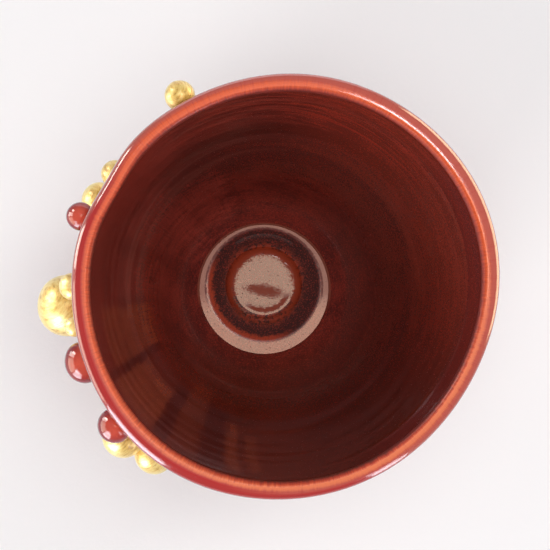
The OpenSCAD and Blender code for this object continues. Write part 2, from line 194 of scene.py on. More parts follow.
class Graph:
    """A material and the nodes that feed its surface, with the shaded point in metres and millimetres."""

    def __init__(self, name: str) -> None:
        """Starts a material with one glossy surface shader.

        Args:
            name: The material's name.
        """
        self.material = bpy.data.materials.new(name)
        self.material.use_nodes = True
        self.tree = self.material.node_tree
        self.surface = next(n for n in self.tree.nodes if n.type == "BSDF_PRINCIPLED")
        self.at = self.node("ShaderNodeTexCoord", {}, {}, "Object")
        self.here = tuple(part * (1 / MM) for part in self.parts(self.at))

    def node(self, kind: str, settings: dict[str, Any], inputs: dict[Any, Any], output: Any = 0) -> Signal:
        """Adds a node of any type.

        Args:
            kind: Blender's name of the node type.
            settings: The node's own settings, which are set first.
            inputs: Values or signals by socket name or number.
            output: Name or number of the socket that is returned.

        Returns:
            The chosen output.
        """
        node = self.tree.nodes.new(kind)
        for key, value in settings.items():
            setattr(node, key, value)
        for key, value in inputs.items():
            self.feed(node.inputs[key], value)
        return Signal(self, node.outputs[output])

    def feed(self, socket: bpy.types.NodeSocket, value: Any) -> None:
        """Links a signal to a socket, or sets a plain value on it.

        Args:
            socket: The socket.
            value: A signal, colour or number.
        """
        if isinstance(value, Signal):
            self.tree.links.new(value.socket, socket)
        elif isinstance(value, tuple) and socket.type == "RGBA":
            socket.default_value = (*value, 1.0)
        else:
            socket.default_value = value

    def dress(self, **inputs: Any) -> bpy.types.Material:
        """Feeds the surface shader.

        Args:
            **inputs: Values or signals by socket name, with _ for a space.

        Returns:
            The finished material.
        """
        for key, value in inputs.items():
            self.feed(self.surface.inputs[key.replace("_", " ")], value)
        return self.material

    def attribute(self, name: str) -> Signal:
        """Gives a number that the mesh carries."""
        return self.node("ShaderNodeAttribute", {"attribute_name": name}, {}, "Fac")

    def parts(self, vector: Signal) -> Spot:
        """Splits a vector into its three parts.

        Args:
            vector: The vector.

        Returns:
            Its x, y and z.
        """
        first = self.node("ShaderNodeSeparateXYZ", {}, {0: vector})
        sockets = first.socket.node.outputs
        return first, Signal(self, sockets[1]), Signal(self, sockets[2])

    def vector(self, x: Any, y: Any, z: Any) -> Signal:
        """Joins three parts into a vector."""
        return self.node("ShaderNodeCombineXYZ", {}, {0: x, 1: y, 2: z})

    def mapped(self, vector: Signal, scale: Triple) -> Signal:
        """Scales the coordinates of a pattern."""
        return self.node("ShaderNodeMapping", {}, {"Vector": vector, "Scale": scale})

    def turned(self, scale: Triple, turn: Triple) -> Signal:
        """Turns the point's coordinates, by angles in radians, and then scales them."""
        tilted = self.node("ShaderNodeMapping", {}, {"Vector": self.at, "Rotation": turn})
        return self.mapped(tilted, scale)

    def noise(self, vector: Signal, scale: float, detail: float = 3.0, rough: float = 0.5,
              warp: float = 0.0) -> Signal:
        """Adds a noise pattern.

        Args:
            vector: Coordinates.
            scale: Waves per metre.
            detail: Number of finer layers.
            rough: Strength of the finer layers.
            warp: Distortion.

        Returns:
            The pattern, about 0 to 1.
        """
        return self.node(
            "ShaderNodeTexNoise", {},
            {"Vector": vector, "Scale": scale, "Detail": detail, "Roughness": rough, "Distortion": warp},
        )

    def spokes(self, scale: float) -> Signal:
        """Adds a noise that changes only around the cup's axis, so that it streaks across the lip.

        Args:
            scale: Waves to the length of a radius.

        Returns:
            The pattern, about 0 to 1.
        """
        x, y, _ = self.here
        radius = (x * x + y * y).root()
        return self.noise(self.vector(x / radius, y / radius, 0.0), scale, 4, 0.7)

    def cells(self, scale: float) -> Signal:
        """Adds a cell pattern: the distance to the nearest of many scattered points."""
        return self.node("ShaderNodeTexVoronoi", {}, {"Vector": self.at, "Scale": scale})

    def mix(self, factor: Any, first: Any, second: Any) -> Signal:
        """Blends two colours.

        Args:
            factor: 0 for the first, 1 for the second.
            first: Colour or signal.
            second: Colour or signal.

        Returns:
            The blend.
        """
        node = self.tree.nodes.new("ShaderNodeMix")
        node.data_type = "RGBA"
        self.feed(node.inputs["Factor"], factor)
        self.feed(next(s for s in node.inputs if s.name == "A" and s.type == "RGBA"), first)
        self.feed(next(s for s in node.inputs if s.name == "B" and s.type == "RGBA"), second)
        return Signal(self, next(s for s in node.outputs if s.type == "RGBA"))

    def layers(self, colour: Signal, *coats: tuple[Signal, Any]) -> Signal:
        """Lays coats of colour one over another.

        Args:
            colour: What lies under them.
            *coats: A mask and a colour each.

        Returns:
            The colour of them all.
        """
        for mask, coat in coats:
            colour = self.mix(mask, colour, coat)
        return colour

    def bump(self, height: Signal, depth: float) -> Signal:
        """Turns a height pattern, 0 to 1, into a normal. Its 1 stands for the depth in millimetres."""
        return self.node("ShaderNodeBump", {}, {"Height": height, "Distance": depth * MM}, "Normal")


# Finishes


@dataclass(frozen=True)
class Patch:
    """A patch on the inside wall, between two azimuths in degrees and two heights in millimetres."""

    start: float
    end: float
    low: float
    high: float
    strength: float
    soft: float = 0.9

    def mask(self, around: Signal, height: Signal, uneven: Signal) -> Signal:
        """Gives the patch's strength at every point.

        Args:
            around: Azimuth in degrees.
            height: Height in millimetres.
            uneven: Unevenness of its edges in degrees.

        Returns:
            The strength, 0 outside the patch.
        """
        soft = self.soft
        turn = around + uneven
        climb = height + uneven * 2.0
        sides = turn.within(self.start - soft, self.start + soft, self.end - soft, self.end + soft)
        ends = climb.within(self.low - 4 * soft, self.low + 4 * soft, self.high - 3, self.high + 3)
        return sides * ends * self.strength


@dataclass(frozen=True)
class LipBreak:
    """How both coats break over the lip: their shared colours, and where the band changes."""

    breaking: Colour = srgb(220, 88, 38)
    pale: Colour = srgb(224, 122, 76)
    streak_scale: float = 75
    fine_scale: float = 110

    def widening(self, g: Graph) -> Signal:
        """Gives how much further the band runs on two opposite sides of the lip, in millimetres."""
        x, y, _ = g.here
        return ((x * x - y * y) * 0.208 + x * y * 1.956) / 1815 * 0.4

    def streaks(self, g: Graph) -> Signal:
        """Gives the streaks across the lip, 0 to 1."""
        return g.spokes(self.streak_scale)

    def fine_streaks(self, g: Graph) -> Signal:
        """Marks the finer, darker streaks across the lip."""
        return g.spokes(self.fine_scale).step(0.54, 0.36)

    def pale_side(self, g: Graph) -> Signal:
        """Marks the side where the band is paler."""
        return (g.here[0] * 0.4 - g.here[1] * 0.92).step(4.0, 34.0)

    def dull_side(self, g: Graph) -> Signal:
        """Marks all of the crest but the side where it stays glossy."""
        return (g.here[0] * 0.84 + g.here[1] * 0.54).step(39.0, 30.0)


@dataclass(frozen=True)
class LinerFinish:
    """Oxblood glaze of the inside: streaky and grainy, breaking to orange over the lip's inner edge, with
    painted light, shadow and reflections on its wall and ledge.
    """

    deep: Colour = srgb(92, 32, 27)
    mid: Colour = srgb(130, 46, 36)
    bright: Colour = srgb(186, 64, 48)
    brown: Colour = srgb(176, 84, 50)
    rosy: Colour = srgb(178, 72, 60)
    ruddy: Colour = srgb(172, 70, 54)
    mauve: Colour = srgb(104, 52, 46)
    low: Colour = srgb(80, 30, 9)
    plum: Colour = srgb(132, 46, 42)
    rim: Colour = srgb(106, 24, 10)
    ember: Colour = srgb(168, 46, 20)
    halo: Colour = srgb(186, 66, 32)
    dusk: Colour = srgb(52, 14, 10)
    dull: Colour = srgb(150, 52, 22)
    # painted reflection: the pink of a dim sheen on the ledge
    sheen_pink: Colour = srgb(150, 84, 66)
    speck: Colour = srgb(44, 16, 14)
    lip: LipBreak = LipBreak()
    cloud_scale: float = 62
    mottle_scale: float = 150
    brush_scale: Triple = (70, 70, 560)
    brush_turn: Triple = (0.16, -0.2, 0.0)
    swirl_scale: Triple = (220, 220, 900)
    swirl_turn: Triple = (0.5, 0.3, 0.0)
    grain_scale: float = 2900
    floor_grain_scale: float = 900
    pit_scale: float = 900
    speck_scale: float = 1100
    relief: float = 0.04
    gloss: float = 0.07
    arc_radius: float = 6.6
    arc_half_width: float = 0.7
    line_radius: float = 15.15
    line_half_width: float = 0.3
    # dark_ring: height of a painted dark reflection band on the upper wall
    dark_ring: float = 60.5
    dark_ring_half_width: float = 5.5
    # patches: painted light, warm panes of window light on the lower left wall
    patches: tuple[Patch, ...] = (
        Patch(187, 206, 32, 82, 0.85),
        Patch(209, 227, 46, 90, 1.0),
        Patch(233, 242, 30, 88, 0.3),
        Patch(252, 256, 46, 88, 0.7),
        Patch(259, 263, 52, 86, 0.5),
    )
    scumbles: tuple[Patch, ...] = (
        Patch(166, 184, 26, 66, 0.7, 3.5),
        Patch(138, 162, 18, 62, 0.8, 4.0),
        Patch(112, 150, 17, 36, 0.8, 4.0),
        Patch(126, 150, 60, 90, 0.45, 4.0),
    )
    # gaps: painted shadow, the dark bars between those panes
    gaps: tuple[Patch, ...] = (
        Patch(227, 232.5, 36, 93, 0.8),
        Patch(243, 251, 36, 93, 0.85),
        Patch(206, 209, 30, 93, 0.6),
    )

    def material(self) -> bpy.types.Material:
        """Builds the liner's material.

        Returns:
            The material.
        """
        g = Graph("oxblood_liner")
        cloud = g.noise(g.at, self.cloud_scale, 4, 0.6, 0.6)
        mottle = g.noise(g.at, self.mottle_scale, 4, 0.65, 0.4)
        brushed = g.noise(g.turned(self.brush_scale, self.brush_turn), 1.0, 5, 0.72, 0.3)
        grain = g.noise(g.at, self.grain_scale, 2, 0.6)
        pits = g.cells(self.pit_scale).step(0.15, 0.06)
        smudge = self._smudge(g)
        worn, line, specks = self._ledge(g)
        body = g.layers(
            g.mix((cloud * 0.45 + mottle * 0.4 + brushed * 0.35).step(0.5, 0.7), self.deep, self.mid),
            *self._wall(g, brushed, cloud),
            *self._patches(g, brushed, cloud),
            *self._floor(g),
            (grain.step(0.5, 0.68) * 0.5, self.bright),
            (grain.step(0.48, 0.3) * 0.5, self.speck),
            (smudge, self.dull),
            # painted reflection: a dim pink sheen painted on the ledge's dulled outer half
            (worn, self.sheen_pink),
            (line, self.rim),
            ((pits * 0.45).above(specks), self.speck),
            *self._lip(g),
        )
        matt, dulled = self._dulling(g)
        dulled = dulled.above(smudge).above(line).above(worn * 0.7).above(pits * 0.5).above(specks)
        bowl = g.here[2].within(11.2, 12.5, 20.0, 34.0) * 0.2
        rough = g.noise(g.at, 180, 3) * 0.1 + self.gloss + bowl + dulled * 0.36 + matt * 0.12 + smudge * 0.25
        height = brushed * 0.4 + g.noise(g.at, 260, 3, 0.6) * 0.5 - pits * 0.6
        return g.dress(Base_Color=body, Roughness=rough, Coat_Weight=(1 - dulled) * 0.3, Coat_Roughness=0.05,
                       Specular_IOR_Level=0.5, Normal=g.bump(height, self.relief))

    def _dulling(self, g: Graph) -> tuple[Signal, Signal]:
        """Dulls the lip's inner edge, its crest and the trough.

        Args:
            g: The graph.

        Returns:
            The inner edge alone and the three together, each 0 to 1.
        """
        over = g.attribute("from_crest")
        matt = over.within(-2.0, -1.5, -0.9, -0.5)
        crest = over.step(-1.2, -0.6) * self.lip.dull_side(g)
        trough = self._from_dome(g).within(8.6, 9.4, 14.6, 15.0) * g.here[2].step(12.0, 11.0)
        return matt, matt.above(trough * 0.8).above(crest * 0.8)

    @staticmethod
    def _from_dome(g: Graph) -> Signal:
        """Gives the distance in millimetres from the middle of the dome, which is off the cup's axis."""
        off = g.here[1] - FLOOR_SHIFT
        return (g.here[0] * g.here[0] + off * off).root()

    def _smudge(self, g: Graph) -> Signal:
        """Dulls a smudge and an arc on the dome, and its ragged edge, where the glaze has sunk in.

        Args:
            g: The graph.

        Returns:
            The dulling, 0 to 1.
        """
        x, y, z = g.here
        off = y - FLOOR_SHIFT
        ragged = g.noise(g.vector(x * 0.5, off, 0.0), 1.0, 6, 0.85, 0.6) - 0.5
        fine = g.noise(g.vector(x * 2.2, off * 4.2, 0.0), 1.0, 3, 0.8) - 0.5
        centre = ((x + 0.2 + off * 0.3) / 4.3) ** 2 + ((off + 1.5 + x * 0.12) / 1.45) ** 2
        smudge = (centre + ragged * 5.0 + fine * 6.0).step(1.7, 0.5)
        radius = self._from_dome(g)
        arc = ((radius + ragged * 2.4 + fine * 1.2 - self.arc_radius) / self.arc_half_width) ** 2
        lower = (x * 0.25 - off + ragged * 3).step(3.2, 5.4)
        notch = (x * 0.8 + off * 0.5).above(x * -0.7 + off * 0.6)
        edge = (radius + ragged * 7.0 + fine * 7.0 + notch * 0.26).step(8.9, 9.4) * z.step(14.0, 12.0)
        dull = (smudge * 0.85).above(arc.step(1.2, 0.2) * lower * 0.9).above(edge)
        return dull * (radius + ragged * 3.0 + fine * 4.0).step(10.3, 9.1)

    def _ledge(self, g: Graph) -> Spot:
        """Marks the worn, dulled outer half of the ledge, where a pink sheen is painted, and the dark line
        and specks beside it.

        Args:
            g: The graph.

        Returns:
            The worn half with its painted sheen, the line and the specks, each 0 to 1.
        """
        x, y, z = g.here
        radius = (x * x + y * y).root()
        ragged = g.noise(g.vector(x * 0.9, y * 0.9, 0.0), 1.0, 4, 0.75)
        across = radius + (ragged - 0.5) * 0.5 - y * 0.05
        upper = (y + (x * x).root() * 0.3 + (ragged - 0.5) * 5).step(-2.0, 5.0)
        ring = radius.within(13.0, 14.0, 17.2, 17.4) * z.within(10.0, 10.4, 11.3, 12.0)
        line = ((across - self.line_radius) / self.line_half_width) ** 2
        specks = g.cells(self.speck_scale).step(0.2, 0.1) * ragged.step(0.4, 0.62)
        return (across.step(15.0, 15.5) * upper * ring,
                line.step(1.3, 0.4) * upper * ring * ragged.step(0.3, 0.5),
                specks * ring * 0.8)

    def _wall(self, g: Graph, brushed: Signal, cloud: Signal) -> Coats:
        """Paints light and shade on to the wall as brighter, browner and darker zones: a browner lower side,
        painted sheen bands, a painted dark band, and painted light on the right and high under the lip.

        Args:
            g: The graph.
            brushed: Brush strokes, 0 to 1.
            cloud: Soft patches, 0 to 1.

        Returns:
            The coats.
        """
        x, y, z = g.here
        uneven = (brushed - 0.5) * 14 + (cloud - 0.5) * 10
        upper = (y + uneven).step(6.0, 22.0)
        inner = (x * 0.9 - y * 0.3 + uneven).step(2.0, 18.0) * z.within(14.0, 18.0, 40.0, 62.0)
        belt = upper * (z + uneven * 0.3).step(26.0, 33.0) * (z + uneven * 0.15).step(57.5, 56.0)
        ring = ((z + uneven * 0.2 - self.dark_ring) / self.dark_ring_half_width) ** 2
        right = (x * 0.9 + y * 0.45 + uneven).step(10.0, 34.0) * (z + uneven).step(30.0, 60.0)
        strokes = (y + uneven * 0.6).step(18.0, 32.0) * (z + uneven * 0.3).step(64.0, 74.0)
        left = (uneven - x).step(14.0, 36.0) * (z + uneven).step(62.0, 84.0)
        return [
            # painted shade: the lower side is browner, to offset the bluish reflection it gets
            ((uneven - y).step(6.0, 34.0) * 0.8, self.low),
            # painted reflection: the mauve bands are a painted sheen on the right and upper wall
            (inner * 0.55, self.mauve),
            (belt * 0.6, self.mauve),
            # painted reflection: a dark band painted above the upper sheen
            (upper * ring.step(1.0, 0.2) * 0.75, self.dusk),
            # painted light: the right side, the upper wall under the lip and the upper left wall are painted
            # brighter, as where light falls
            (right * (brushed * 0.6 + 0.1), self.ruddy),
            (strokes * brushed.step(0.44, 0.6) * 0.65, self.bright),
            (left * 0.3, self.bright),
        ]

    def _patches(self, g: Graph, brushed: Signal, cloud: Signal) -> Coats:
        """Paints on to the wall's left half patches of window light and the dark gaps of its bars, which are
        painted light and painted shadow, and scumbles, and plum under the lip.

        Args:
            g: The graph.
            brushed: Brush strokes, 0 to 1.
            cloud: Soft patches, 0 to 1.

        Returns:
            The coats.
        """
        x, y, z = g.here
        around = g.attribute("around")
        lines = g.noise(g.vector(around * 1.1, z * 0.09, 0.0), 1.0, 3, 0.7)
        half = x.step(4.0, -4.0)
        weave = ((brushed * 0.6 + lines * 0.6).step(0.46, 0.7) * 0.7 + 0.3) * half
        edge = (brushed - 0.5) * 5 + (lines - 0.5) * 4 + (cloud - 0.5) * 4
        swirled = g.noise(g.turned(self.swirl_scale, self.swirl_turn), 1.0, 5, 0.75, 0.8)
        # painted light and painted shadow: the window panes and the dark gaps of its bars
        kinds = (
            (self.patches, edge, weave, self.brown),
            (self.scumbles, edge * 1.6 + (swirled - 0.5) * 26, weave, self.rosy),
            (self.gaps, edge * 0.5, half, self.dusk),
        )
        under_lip = (x * 0.98 - y * 0.2).step(20.0, 33.0) * (z + (cloud - 0.5) * 1.2).step(84.0, 85.0)
        brushed_on = [(patch.mask(around, z, uneven) * strength, colour)
                      for marks, uneven, strength, colour in kinds for patch in marks]
        return brushed_on + [(under_lip * 0.85, self.plum)]

    def _floor(self, g: Graph) -> Coats:
        """Breaks the glaze to orange round the dome and darkens it in the trough.

        Args:
            g: The graph.

        Returns:
            The coats.
        """
        x, y, z = g.here
        off = y - FLOOR_SHIFT
        fine = g.noise(g.at, self.floor_grain_scale, 3, 0.7)
        radius = self._from_dome(g) + (fine - 0.5) * 2.6
        low = z.step(14.0, 12.0)
        ends = (off + x * 0.3).step(-1.0, 8.0).above((off * off).step(30.0, 70.0) * 0.5)
        halo = radius.within(7.4, 8.3, 8.8, 12.4) * low
        corner = radius.within(12.8, 13.8, 14.4, 15.0) * low * (off * -0.7 - x * 0.7).step(2.0, 9.0)
        return [
            (radius.step(15.2, 13.8) * low * 0.95, self.dusk),
            (halo * (ends * 0.75 + 0.25) * fine.step(0.42, 0.55), self.halo),
            (corner * 0.9, self.halo),
        ]

    def _lip(self, g: Graph) -> Coats:
        """Lets the glaze break to orange over the lip's inner edge, up to the crest.

        Args:
            g: The graph.

        Returns:
            The coats.
        """
        ragged = g.attribute("from_crest") + self.lip.widening(g) + (self.lip.streaks(g) - 0.5) * 2.0
        return [
            (ragged.step(-2.1, -1.3) * 0.8, self.rim),
            (ragged.step(-1.6, -0.7), self.ember),
            (ragged.step(-1.1, 0.1), self.lip.breaking),
            (self.lip.pale_side(g) * ragged.step(-0.7, 0.0) * 0.6, self.lip.pale),
            (self.lip.fine_streaks(g) * ragged.step(-1.4, -0.6) * 0.5, self.ember),
        ]


@dataclass(frozen=True)
class OuterFinish:
    """Crimson glaze of the outside, with a painted dusty pink sheen over the lip, pooled dark above the foot.
    """

    body: Colour = srgb(168, 31, 35)
    streak: Colour = srgb(124, 18, 24)
    # painted reflection: pink sheen of the lip's outer slope
    sheen_pink: Colour = srgb(188, 84, 68)
    crimson: Colour = srgb(176, 37, 33)
    thin_and_lit: Colour = srgb(186, 78, 60)
    pool: Colour = srgb(72, 12, 18)
    lip: LipBreak = LipBreak()
    run_scale: Triple = (260, 260, 28)
    cloud_scale: float = 60
    pit_scale: float = 700
    relief: float = 0.04
    gloss: float = 0.08

    def material(self) -> bpy.types.Material:
        """Builds the outer coat's material.

        Returns:
            The material.
        """
        g = Graph("crimson_glaze")
        runs = g.noise(g.mapped(g.at, self.run_scale), 1.0, 4, 0.6)
        cloud = g.noise(g.at, self.cloud_scale, 3, 0.6, 0.5)
        colour = g.layers(
            g.mix((runs * 0.7 + cloud * 0.45).step(0.42, 0.75), self.streak, self.body),
            *self._lip(g, runs, cloud),
            ((g.here[2] + (runs - 0.5) * 9).step(24.0, 11.0) * 0.5, self.thin_and_lit),
            (g.attribute("pooled"), self.pool),
        )
        pits = g.cells(self.pit_scale).step(0.13, 0.05)
        height = g.noise(g.at, 220, 3, 0.6) + runs * 0.3 - pits * 0.5
        crest = g.attribute("from_crest").step(1.2, 0.6) * self.lip.dull_side(g) * 0.8
        rough = g.noise(g.at, 150, 3) * 0.1 + self.gloss + crest * 0.36
        return g.dress(Base_Color=colour, Roughness=rough, Coat_Weight=(1 - crest) * 0.4, Coat_Roughness=0.04,
                       Specular_IOR_Level=0.5, Normal=g.bump(height, self.relief))

    def _lip(self, g: Graph, runs: Signal, cloud: Signal) -> Coats:
        """Paints a dusty pink sheen on the glaze below the lip, a painted reflection, and lets it break to
        orange at the crest.

        Args:
            g: The graph.
            runs: Runs down the wall, 0 to 1.
            cloud: Soft patches, 0 to 1.

        Returns:
            The coats.
        """
        x, y, _ = g.here
        over = g.attribute("from_crest")
        uneven = (cloud - 0.5) * 12
        streaks = self.lip.streaks(g)
        below = (x * -0.34 - y * 0.94 + uneven).step(20.0, 34.0) * over.step(1.0, 1.9)
        left = (x * -0.9 - y * 0.42 + uneven).step(14.0, 32.0) * over.within(0.3, 0.8, 1.8, 2.6)
        slope = g.layers(
            # painted reflection: the outer slope gets a pink sheen, crimson on the lower side
            g.mix(below, self.sheen_pink, self.crimson),
            (left, self.crimson),
            (streaks.step(0.5, 0.68) * 0.35, self.crimson),
        )
        shaded = (y - x * 0.2).step(20.0, 40.0) * 0.35
        edge = over + self.lip.widening(g) + (streaks - 0.5) * 1.2 - shaded
        return [
            ((over + (runs - 0.5) * 6).step(11.0, 4.0), slope),
            (edge.step(1.0, -0.1), self.lip.breaking),
            (self.lip.fine_streaks(g) * edge.step(1.4, 0.6) * 0.3, self.crimson),
            (self.lip.pale_side(g) * edge.step(1.0, 0.2) * 0.6, self.lip.pale),
        ]


@dataclass(frozen=True)
class ClayFinish:
    """Bare fired clay of the foot, with grog, iron specks and turning lines."""

    pale: Colour = srgb(196, 158, 122)
    flashed: Colour = srgb(160, 104, 70)
    iron: Colour = srgb(64, 38, 26)
    turning_lines: float = 9
    speck_scale: float = 420
    relief: float = 0.12

    def material(self) -> bpy.types.Material:
        """Builds the clay's material.

        Returns:
            The material.
        """
        g = Graph("fired_clay")
        at = g.at
        x, y, z = g.here
        radius = (x * x + y * y).root()
        cloud = g.noise(at, 110, 4, 0.6)
        colour = g.mix(cloud.step(0.35, 0.7), self.pale, self.flashed)
        specks = g.cells(self.speck_scale).step(0.2, 0.08)
        colour = g.mix(specks * 0.8, colour, self.iron)
        turned = ((radius + z) * self.turning_lines + g.noise(at, 90, 2) * 5).sine() * 0.5 + 0.5
        grain = g.noise(at, 1800, 3, 0.7)
        return g.dress(Base_Color=colour, Roughness=0.82, Specular_IOR_Level=0.35,
                       Normal=g.bump(turned * 0.35 + grain * 0.7, self.relief))


@dataclass(frozen=True)
class GoldFinish:
    """Gold lustre fired over the balls: bright, mottled and worn thin in places."""

    bright: Colour = srgb(250, 228, 150)
    deep: Colour = srgb(224, 180, 80)
    worn: Colour = srgb(164, 122, 60)
    bloom: Colour = (1.0, 0.97, 0.85)
    patch_scale: float = 240
    stroke_scale: Triple = (420, 420, 2600)
    stroke_turn: Triple = (0.5, 0.7, 0.0)
    relief: float = 0.05

    def material(self) -> bpy.types.Material:
        """Builds the lustre's material.

        Returns:
            The material.
        """
        g = Graph("gold_lustre")
        at = g.at
        patches = g.noise(at, self.patch_scale, 4, 0.6, 0.8)
        strokes = g.noise(g.turned(self.stroke_scale, self.stroke_turn), 1.0, 3, 0.7)
        colour = g.mix((patches * 0.6 + strokes * 0.5).step(0.42, 0.68), self.deep, self.bright)
        # painted reflection: the ball's sides are paler, a cream rim of reflected light
        colour = g.mix(g.attribute("crown").step(0.62, 0.2) * 0.8, colour, self.bright)
        worn = (patches * 0.4 + strokes * 0.6 + g.noise(at, 2200, 2) * 0.2).step(0.57, 0.44)
        colour = g.mix(worn * 0.7, colour, self.worn)
        height = strokes * 0.5 + patches * 0.8
        return g.dress(Base_Color=colour, Metallic=0.24 - worn * 0.1, Roughness=0.34 + strokes * 0.12,
                       Coat_Weight=0.4, Coat_Roughness=0.16, Sheen_Weight=0.35, Sheen_Roughness=0.3,
                       Sheen_Tint=self.bloom, Normal=g.bump(height, self.relief))


@dataclass(frozen=True)
class RedFinish:
    """Clear red glaze over the red balls, with painted light: their tops are lighter orange-red, as where
    light falls on them.
    """

    deep: Colour = srgb(146, 20, 36)
    # painted light: the lighter red of the tops
    thin_and_lit: Colour = srgb(220, 92, 66)
    bloom: Colour = (0.96, 0.88, 1.0)
    relief: float = 0.04

    def material(self) -> bpy.types.Material:
        """Builds the red glaze's material.

        Returns:
            The material.
        """
        g = Graph("red_glaze")
        at = g.at
        cloud = g.noise(at, 260, 3, 0.6, 0.5)
        # painted light: the tops are lighter, a glow where light falls
        top = g.attribute("crown").step(0.4, 1.0)
        colour = g.mix(top * 0.75 + (cloud - 0.5) * 0.9, self.deep, self.thin_and_lit)
        height = g.noise(at, 420, 2)
        return g.dress(Base_Color=colour, Roughness=g.noise(at, 600, 2) * 0.07 + 0.05, Coat_Weight=0.5,
                       Coat_Roughness=0.03, Specular_IOR_Level=0.2, Sheen_Weight=0.9,
                       Sheen_Roughness=0.16, Sheen_Tint=self.bloom, Normal=g.bump(height, self.relief))


@dataclass(frozen=True)
class FloorFinish:
    """Plain pale backdrop paper."""

    paper: Colour = srgb(253, 253, 253)
    shade: Colour = srgb(249, 249, 249)
    relief: float = 0.05

    def material(self) -> bpy.types.Material:
        """Builds the floor's material.

        Returns:
            The material.
        """
        g = Graph("backdrop_paper")
        at = g.at
        colour = g.mix(g.noise(at, 12, 4, 0.6), self.paper, self.shade)
        return g.dress(Base_Color=colour, Roughness=0.9, Specular_IOR_Level=0.04,
                       Normal=g.bump(g.noise(at, 900, 3), self.relief))


# Modelling by hand


class Bench:
    """The hand tools: selecting, editing, turning and finishing a piece."""

    @staticmethod
    def clear() -> None:
        """Leaves edit mode and deselects everything."""
        if bpy.context.object and bpy.context.object.mode != "OBJECT":
            bpy.ops.object.mode_set(mode="OBJECT")
        bpy.ops.object.select_all(action="DESELECT")

    @staticmethod
    def take(piece: bpy.types.Object) -> bpy.types.Object:
        """Selects one piece alone and makes it active.

        Args:
            piece: The piece.

        Returns:
            The same piece.
        """
        Bench.clear()
        piece.select_set(True)
        bpy.context.view_layer.objects.active = piece
        return piece

    @staticmethod
    def edit(piece: bpy.types.Object) -> None:
        """Opens a piece in edit mode with nothing selected.

        Args:
            piece: The piece.
        """
        Bench.take(piece)
        bpy.ops.object.mode_set(mode="EDIT")
        bpy.ops.mesh.select_all(action="DESELECT")

    @staticmethod
    def pick_faces(piece: bpy.types.Object, chosen: np.ndarray) -> None:
        """Opens a piece in edit mode with the chosen faces selected.

        Args:
            piece: The piece.
            chosen: One flag a face.
        """
        Bench.edit(piece)
        mesh = bmesh.from_edit_mesh(piece.data)
        mesh.faces.ensure_lookup_table()
        for index in np.flatnonzero(chosen):
            mesh.faces[int(index)].select_set(True)
        mesh.select_flush(True)
        bmesh.update_edit_mesh(piece.data)

    @staticmethod
    def points(piece: bpy.types.Object) -> np.ndarray:
        """Gives the piece's vertices in metres, one a row.

        Args:
            piece: The piece.

        Returns:
            Its vertices.
        """
        flat = np.zeros(len(piece.data.vertices) * 3)
        piece.data.vertices.foreach_get("co", flat)
        return flat.reshape(-1, 3)

    @staticmethod
    def push(piece: bpy.types.Object, points: np.ndarray) -> None:
        """Moves the piece's vertices to new places."""
        piece.data.vertices.foreach_set("co", points.ravel())
        piece.data.update()

    @staticmethod
    def note(piece: bpy.types.Object, name: str, values: np.ndarray) -> None:
        """Writes a number on each vertex for the material to read."""
        store = piece.data.attributes.new(name, "FLOAT", "POINT")
        store.data.foreach_set("value", values.astype(float))

    @staticmethod
    def centres(piece: bpy.types.Object) -> np.ndarray:
        """Gives the centres of the piece's faces, one a row.

        Args:
            piece: The piece.

        Returns:
            The centres in metres.
        """
        flat = np.zeros(len(piece.data.polygons) * 3)
        piece.data.polygons.foreach_get("center", flat)
        return flat.reshape(-1, 3)

    @staticmethod
    def apply(piece: bpy.types.Object, kind: str, **settings: Any) -> None:
        """Adds a modifier, sets it and applies it.

        Args:
            piece: The piece.
            kind: The modifier's type.
            **settings: The modifier's own settings.
        """
        Bench.take(piece)
        modifier = piece.modifiers.new(kind.lower(), kind)
        for key, value in settings.items():
            setattr(modifier, key, value)
        bpy.ops.object.modifier_apply(modifier=modifier.name)

    @staticmethod
    def turn(name: str, outline: np.ndarray, steps: int) -> bpy.types.Object:
        """Turns an outline about the cup's axis, as on the wheel.

        Args:
            name: The piece's name.
            outline: Points [radius, height] in metres. A closed outline ends where it starts.
            steps: Number of faces around.

        Returns:
            The turned piece, closed, its faces outwards.
        """
        Bench.clear()
        bpy.ops.mesh.primitive_plane_add(size=MM, location=(0, 0, 0))
        piece = bpy.context.object
        piece.name = name
        piece.data.name = name
        bpy.ops.object.mode_set(mode="EDIT")
        bpy.ops.mesh.select_all(action="SELECT")
        bpy.ops.mesh.merge(type="CENTER")
        bpy.ops.mesh.select_mode(type="VERT")
        bpy.ops.transform.translate(value=(outline[0, 0], 0, outline[0, 1]))
        for move in np.diff(outline, axis=0):
            bpy.ops.mesh.extrude_region_move(TRANSFORM_OT_translate={"value": (move[0], 0, move[1])})
        bpy.ops.mesh.select_all(action="SELECT")
        bpy.ops.mesh.spin(steps=steps, angle=2 * math.pi, center=(0, 0, 0), axis=(0, 0, 1))
        bpy.ops.mesh.select_all(action="SELECT")
        bpy.ops.mesh.remove_doubles(threshold=CLOSE)
        bpy.ops.mesh.normals_make_consistent(inside=False)
        bpy.ops.object.mode_set(mode="OBJECT")
        return piece

    @staticmethod
    def finish(piece: bpy.types.Object, material: bpy.types.Material, slot: str, node: str,
               angle: float = 180.0) -> None:
        """Smooths a piece, dresses it and puts it in its node's place.

        Args:
            piece: The piece.
            material: Its material.
            slot: The record's material slot; not used.
            node: The node that it replaces.
            angle: Largest angle in degrees that is shaded smooth.
        """
        Bench.take(piece)
        bpy.ops.object.shade_smooth_by_angle(angle=math.radians(angle))
        piece.data.materials.clear()
        piece.data.materials.append(material)
        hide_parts(node)
        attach(piece, BODY)
        log.info("%s: %d faces", piece.name, len(piece.data.polygons))


# The cup's form


